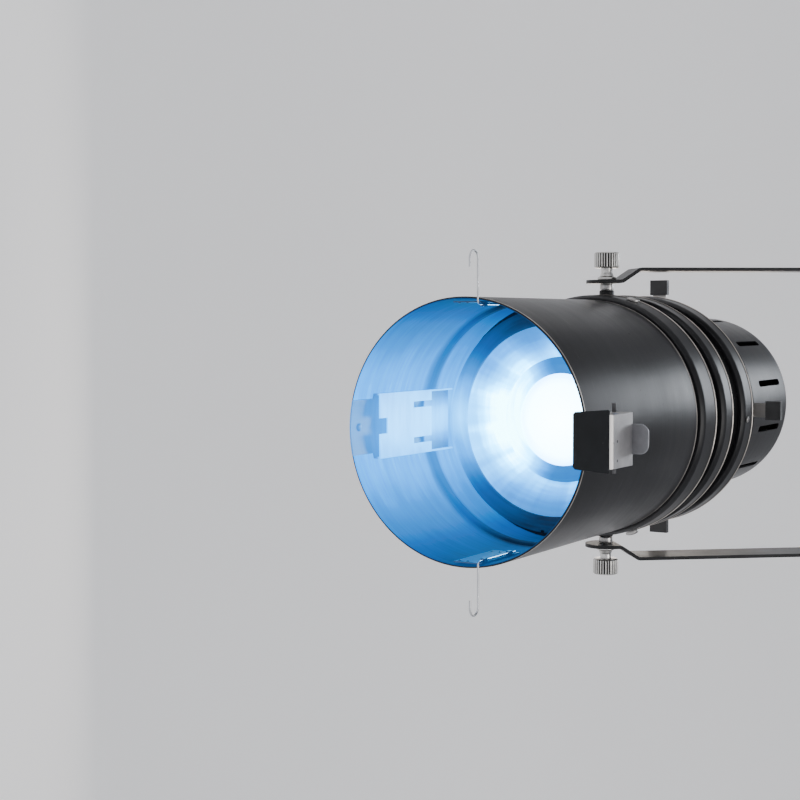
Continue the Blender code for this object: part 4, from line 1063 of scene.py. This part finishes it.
for name, material in FINISHES.items():
    piece = frame["nodes"][name]
    piece.data.materials.clear()
    piece.data.materials.append(material)
    if name in BEVELS:
        add_bevel(piece, BEVELS[name], 3 if "grip" in name else 2)


# ---------------------------------------------------------------- studio
def add_studio():
    """A pale sweep: flat floor that curves up all round, well away from the lamp."""
    floor_z, flat, wall_radius, top = -0.95, 2.6, 1.2, 2.2
    outline = [(0.0, floor_z), (flat, floor_z)]
    outline += [(flat + wall_radius * sin(a), floor_z + wall_radius - wall_radius * cos(a))
                for a in [pi / 2 * i / 12 for i in range(13)]]
    outline.append((flat + wall_radius, top))
    mesh = lathe_mesh("sweep", [(z, radius) for radius, z in outline], Matrix(), 96, closed=False)
    mesh.materials.append(studio_paper())
    sweep = new_object("sweep", mesh)

    target = PIVOT + Vector((0, -0.05, -0.05))
    for name, place, size, power, colour in (
            ("key", (0.25, -1.35, 1.25), 1.1, 16.0, (1.0, 0.98, 0.96)),
            ("top", (-0.35, 0.85, 1.6), 0.7, 12.0, (0.88, 0.93, 1.0)),
            ("fill", (-2.0, -1.4, -0.1), 1.6, 5.0, (0.95, 0.97, 1.0)),
            ("other_fill", (2.0, -1.0, 0.2), 1.6, 4.0, (1.0, 0.99, 0.97)),
            ("rim", (0.2, 2.0, 0.2), 0.8, 8.0, (1.0, 0.90, 0.80))):
        lamp = bpy.data.lights.new(name, "AREA")
        lamp.shape = "DISK"
        lamp.size = size
        lamp.energy = power
        lamp.color = colour
        light = new_object(name, lamp)
        light.location = place
        light.rotation_euler = (target - Vector(place)).to_track_quat("-Z", "Y").to_euler()
    world = bpy.data.worlds.new("studio")
    world.use_nodes = True
    background = world.node_tree.nodes["Background"]
    background.inputs["Color"].default_value = (0.92, 0.94, 1.0, 1.0)
    background.inputs["Strength"].default_value = 0.45
    bpy.context.scene.world = world


def add_camera():
    """The lamp is seen from the front, low and slightly to one side, with the camera on its side."""
    place = Vector((-0.0816, -1.266, -0.645))
    forward = Vector((0.053, 0.991, 0.119)).normalized()
    right = Vector((0.003, -0.119, 0.993))
    right = (right - forward * right.dot(forward)).normalized()
    data = bpy.data.cameras.new("camera")
    data.sensor_width = 36.0
    data.lens = 66.34
    data.clip_start = 0.05
    camera = new_object("camera", data)
    axes = Matrix((right, right.cross(forward), -forward)).transposed()
    camera.matrix_world = Matrix.Translation(place) @ axes.to_4x4()
    bpy.context.scene.camera = camera


add_studio()
add_camera()
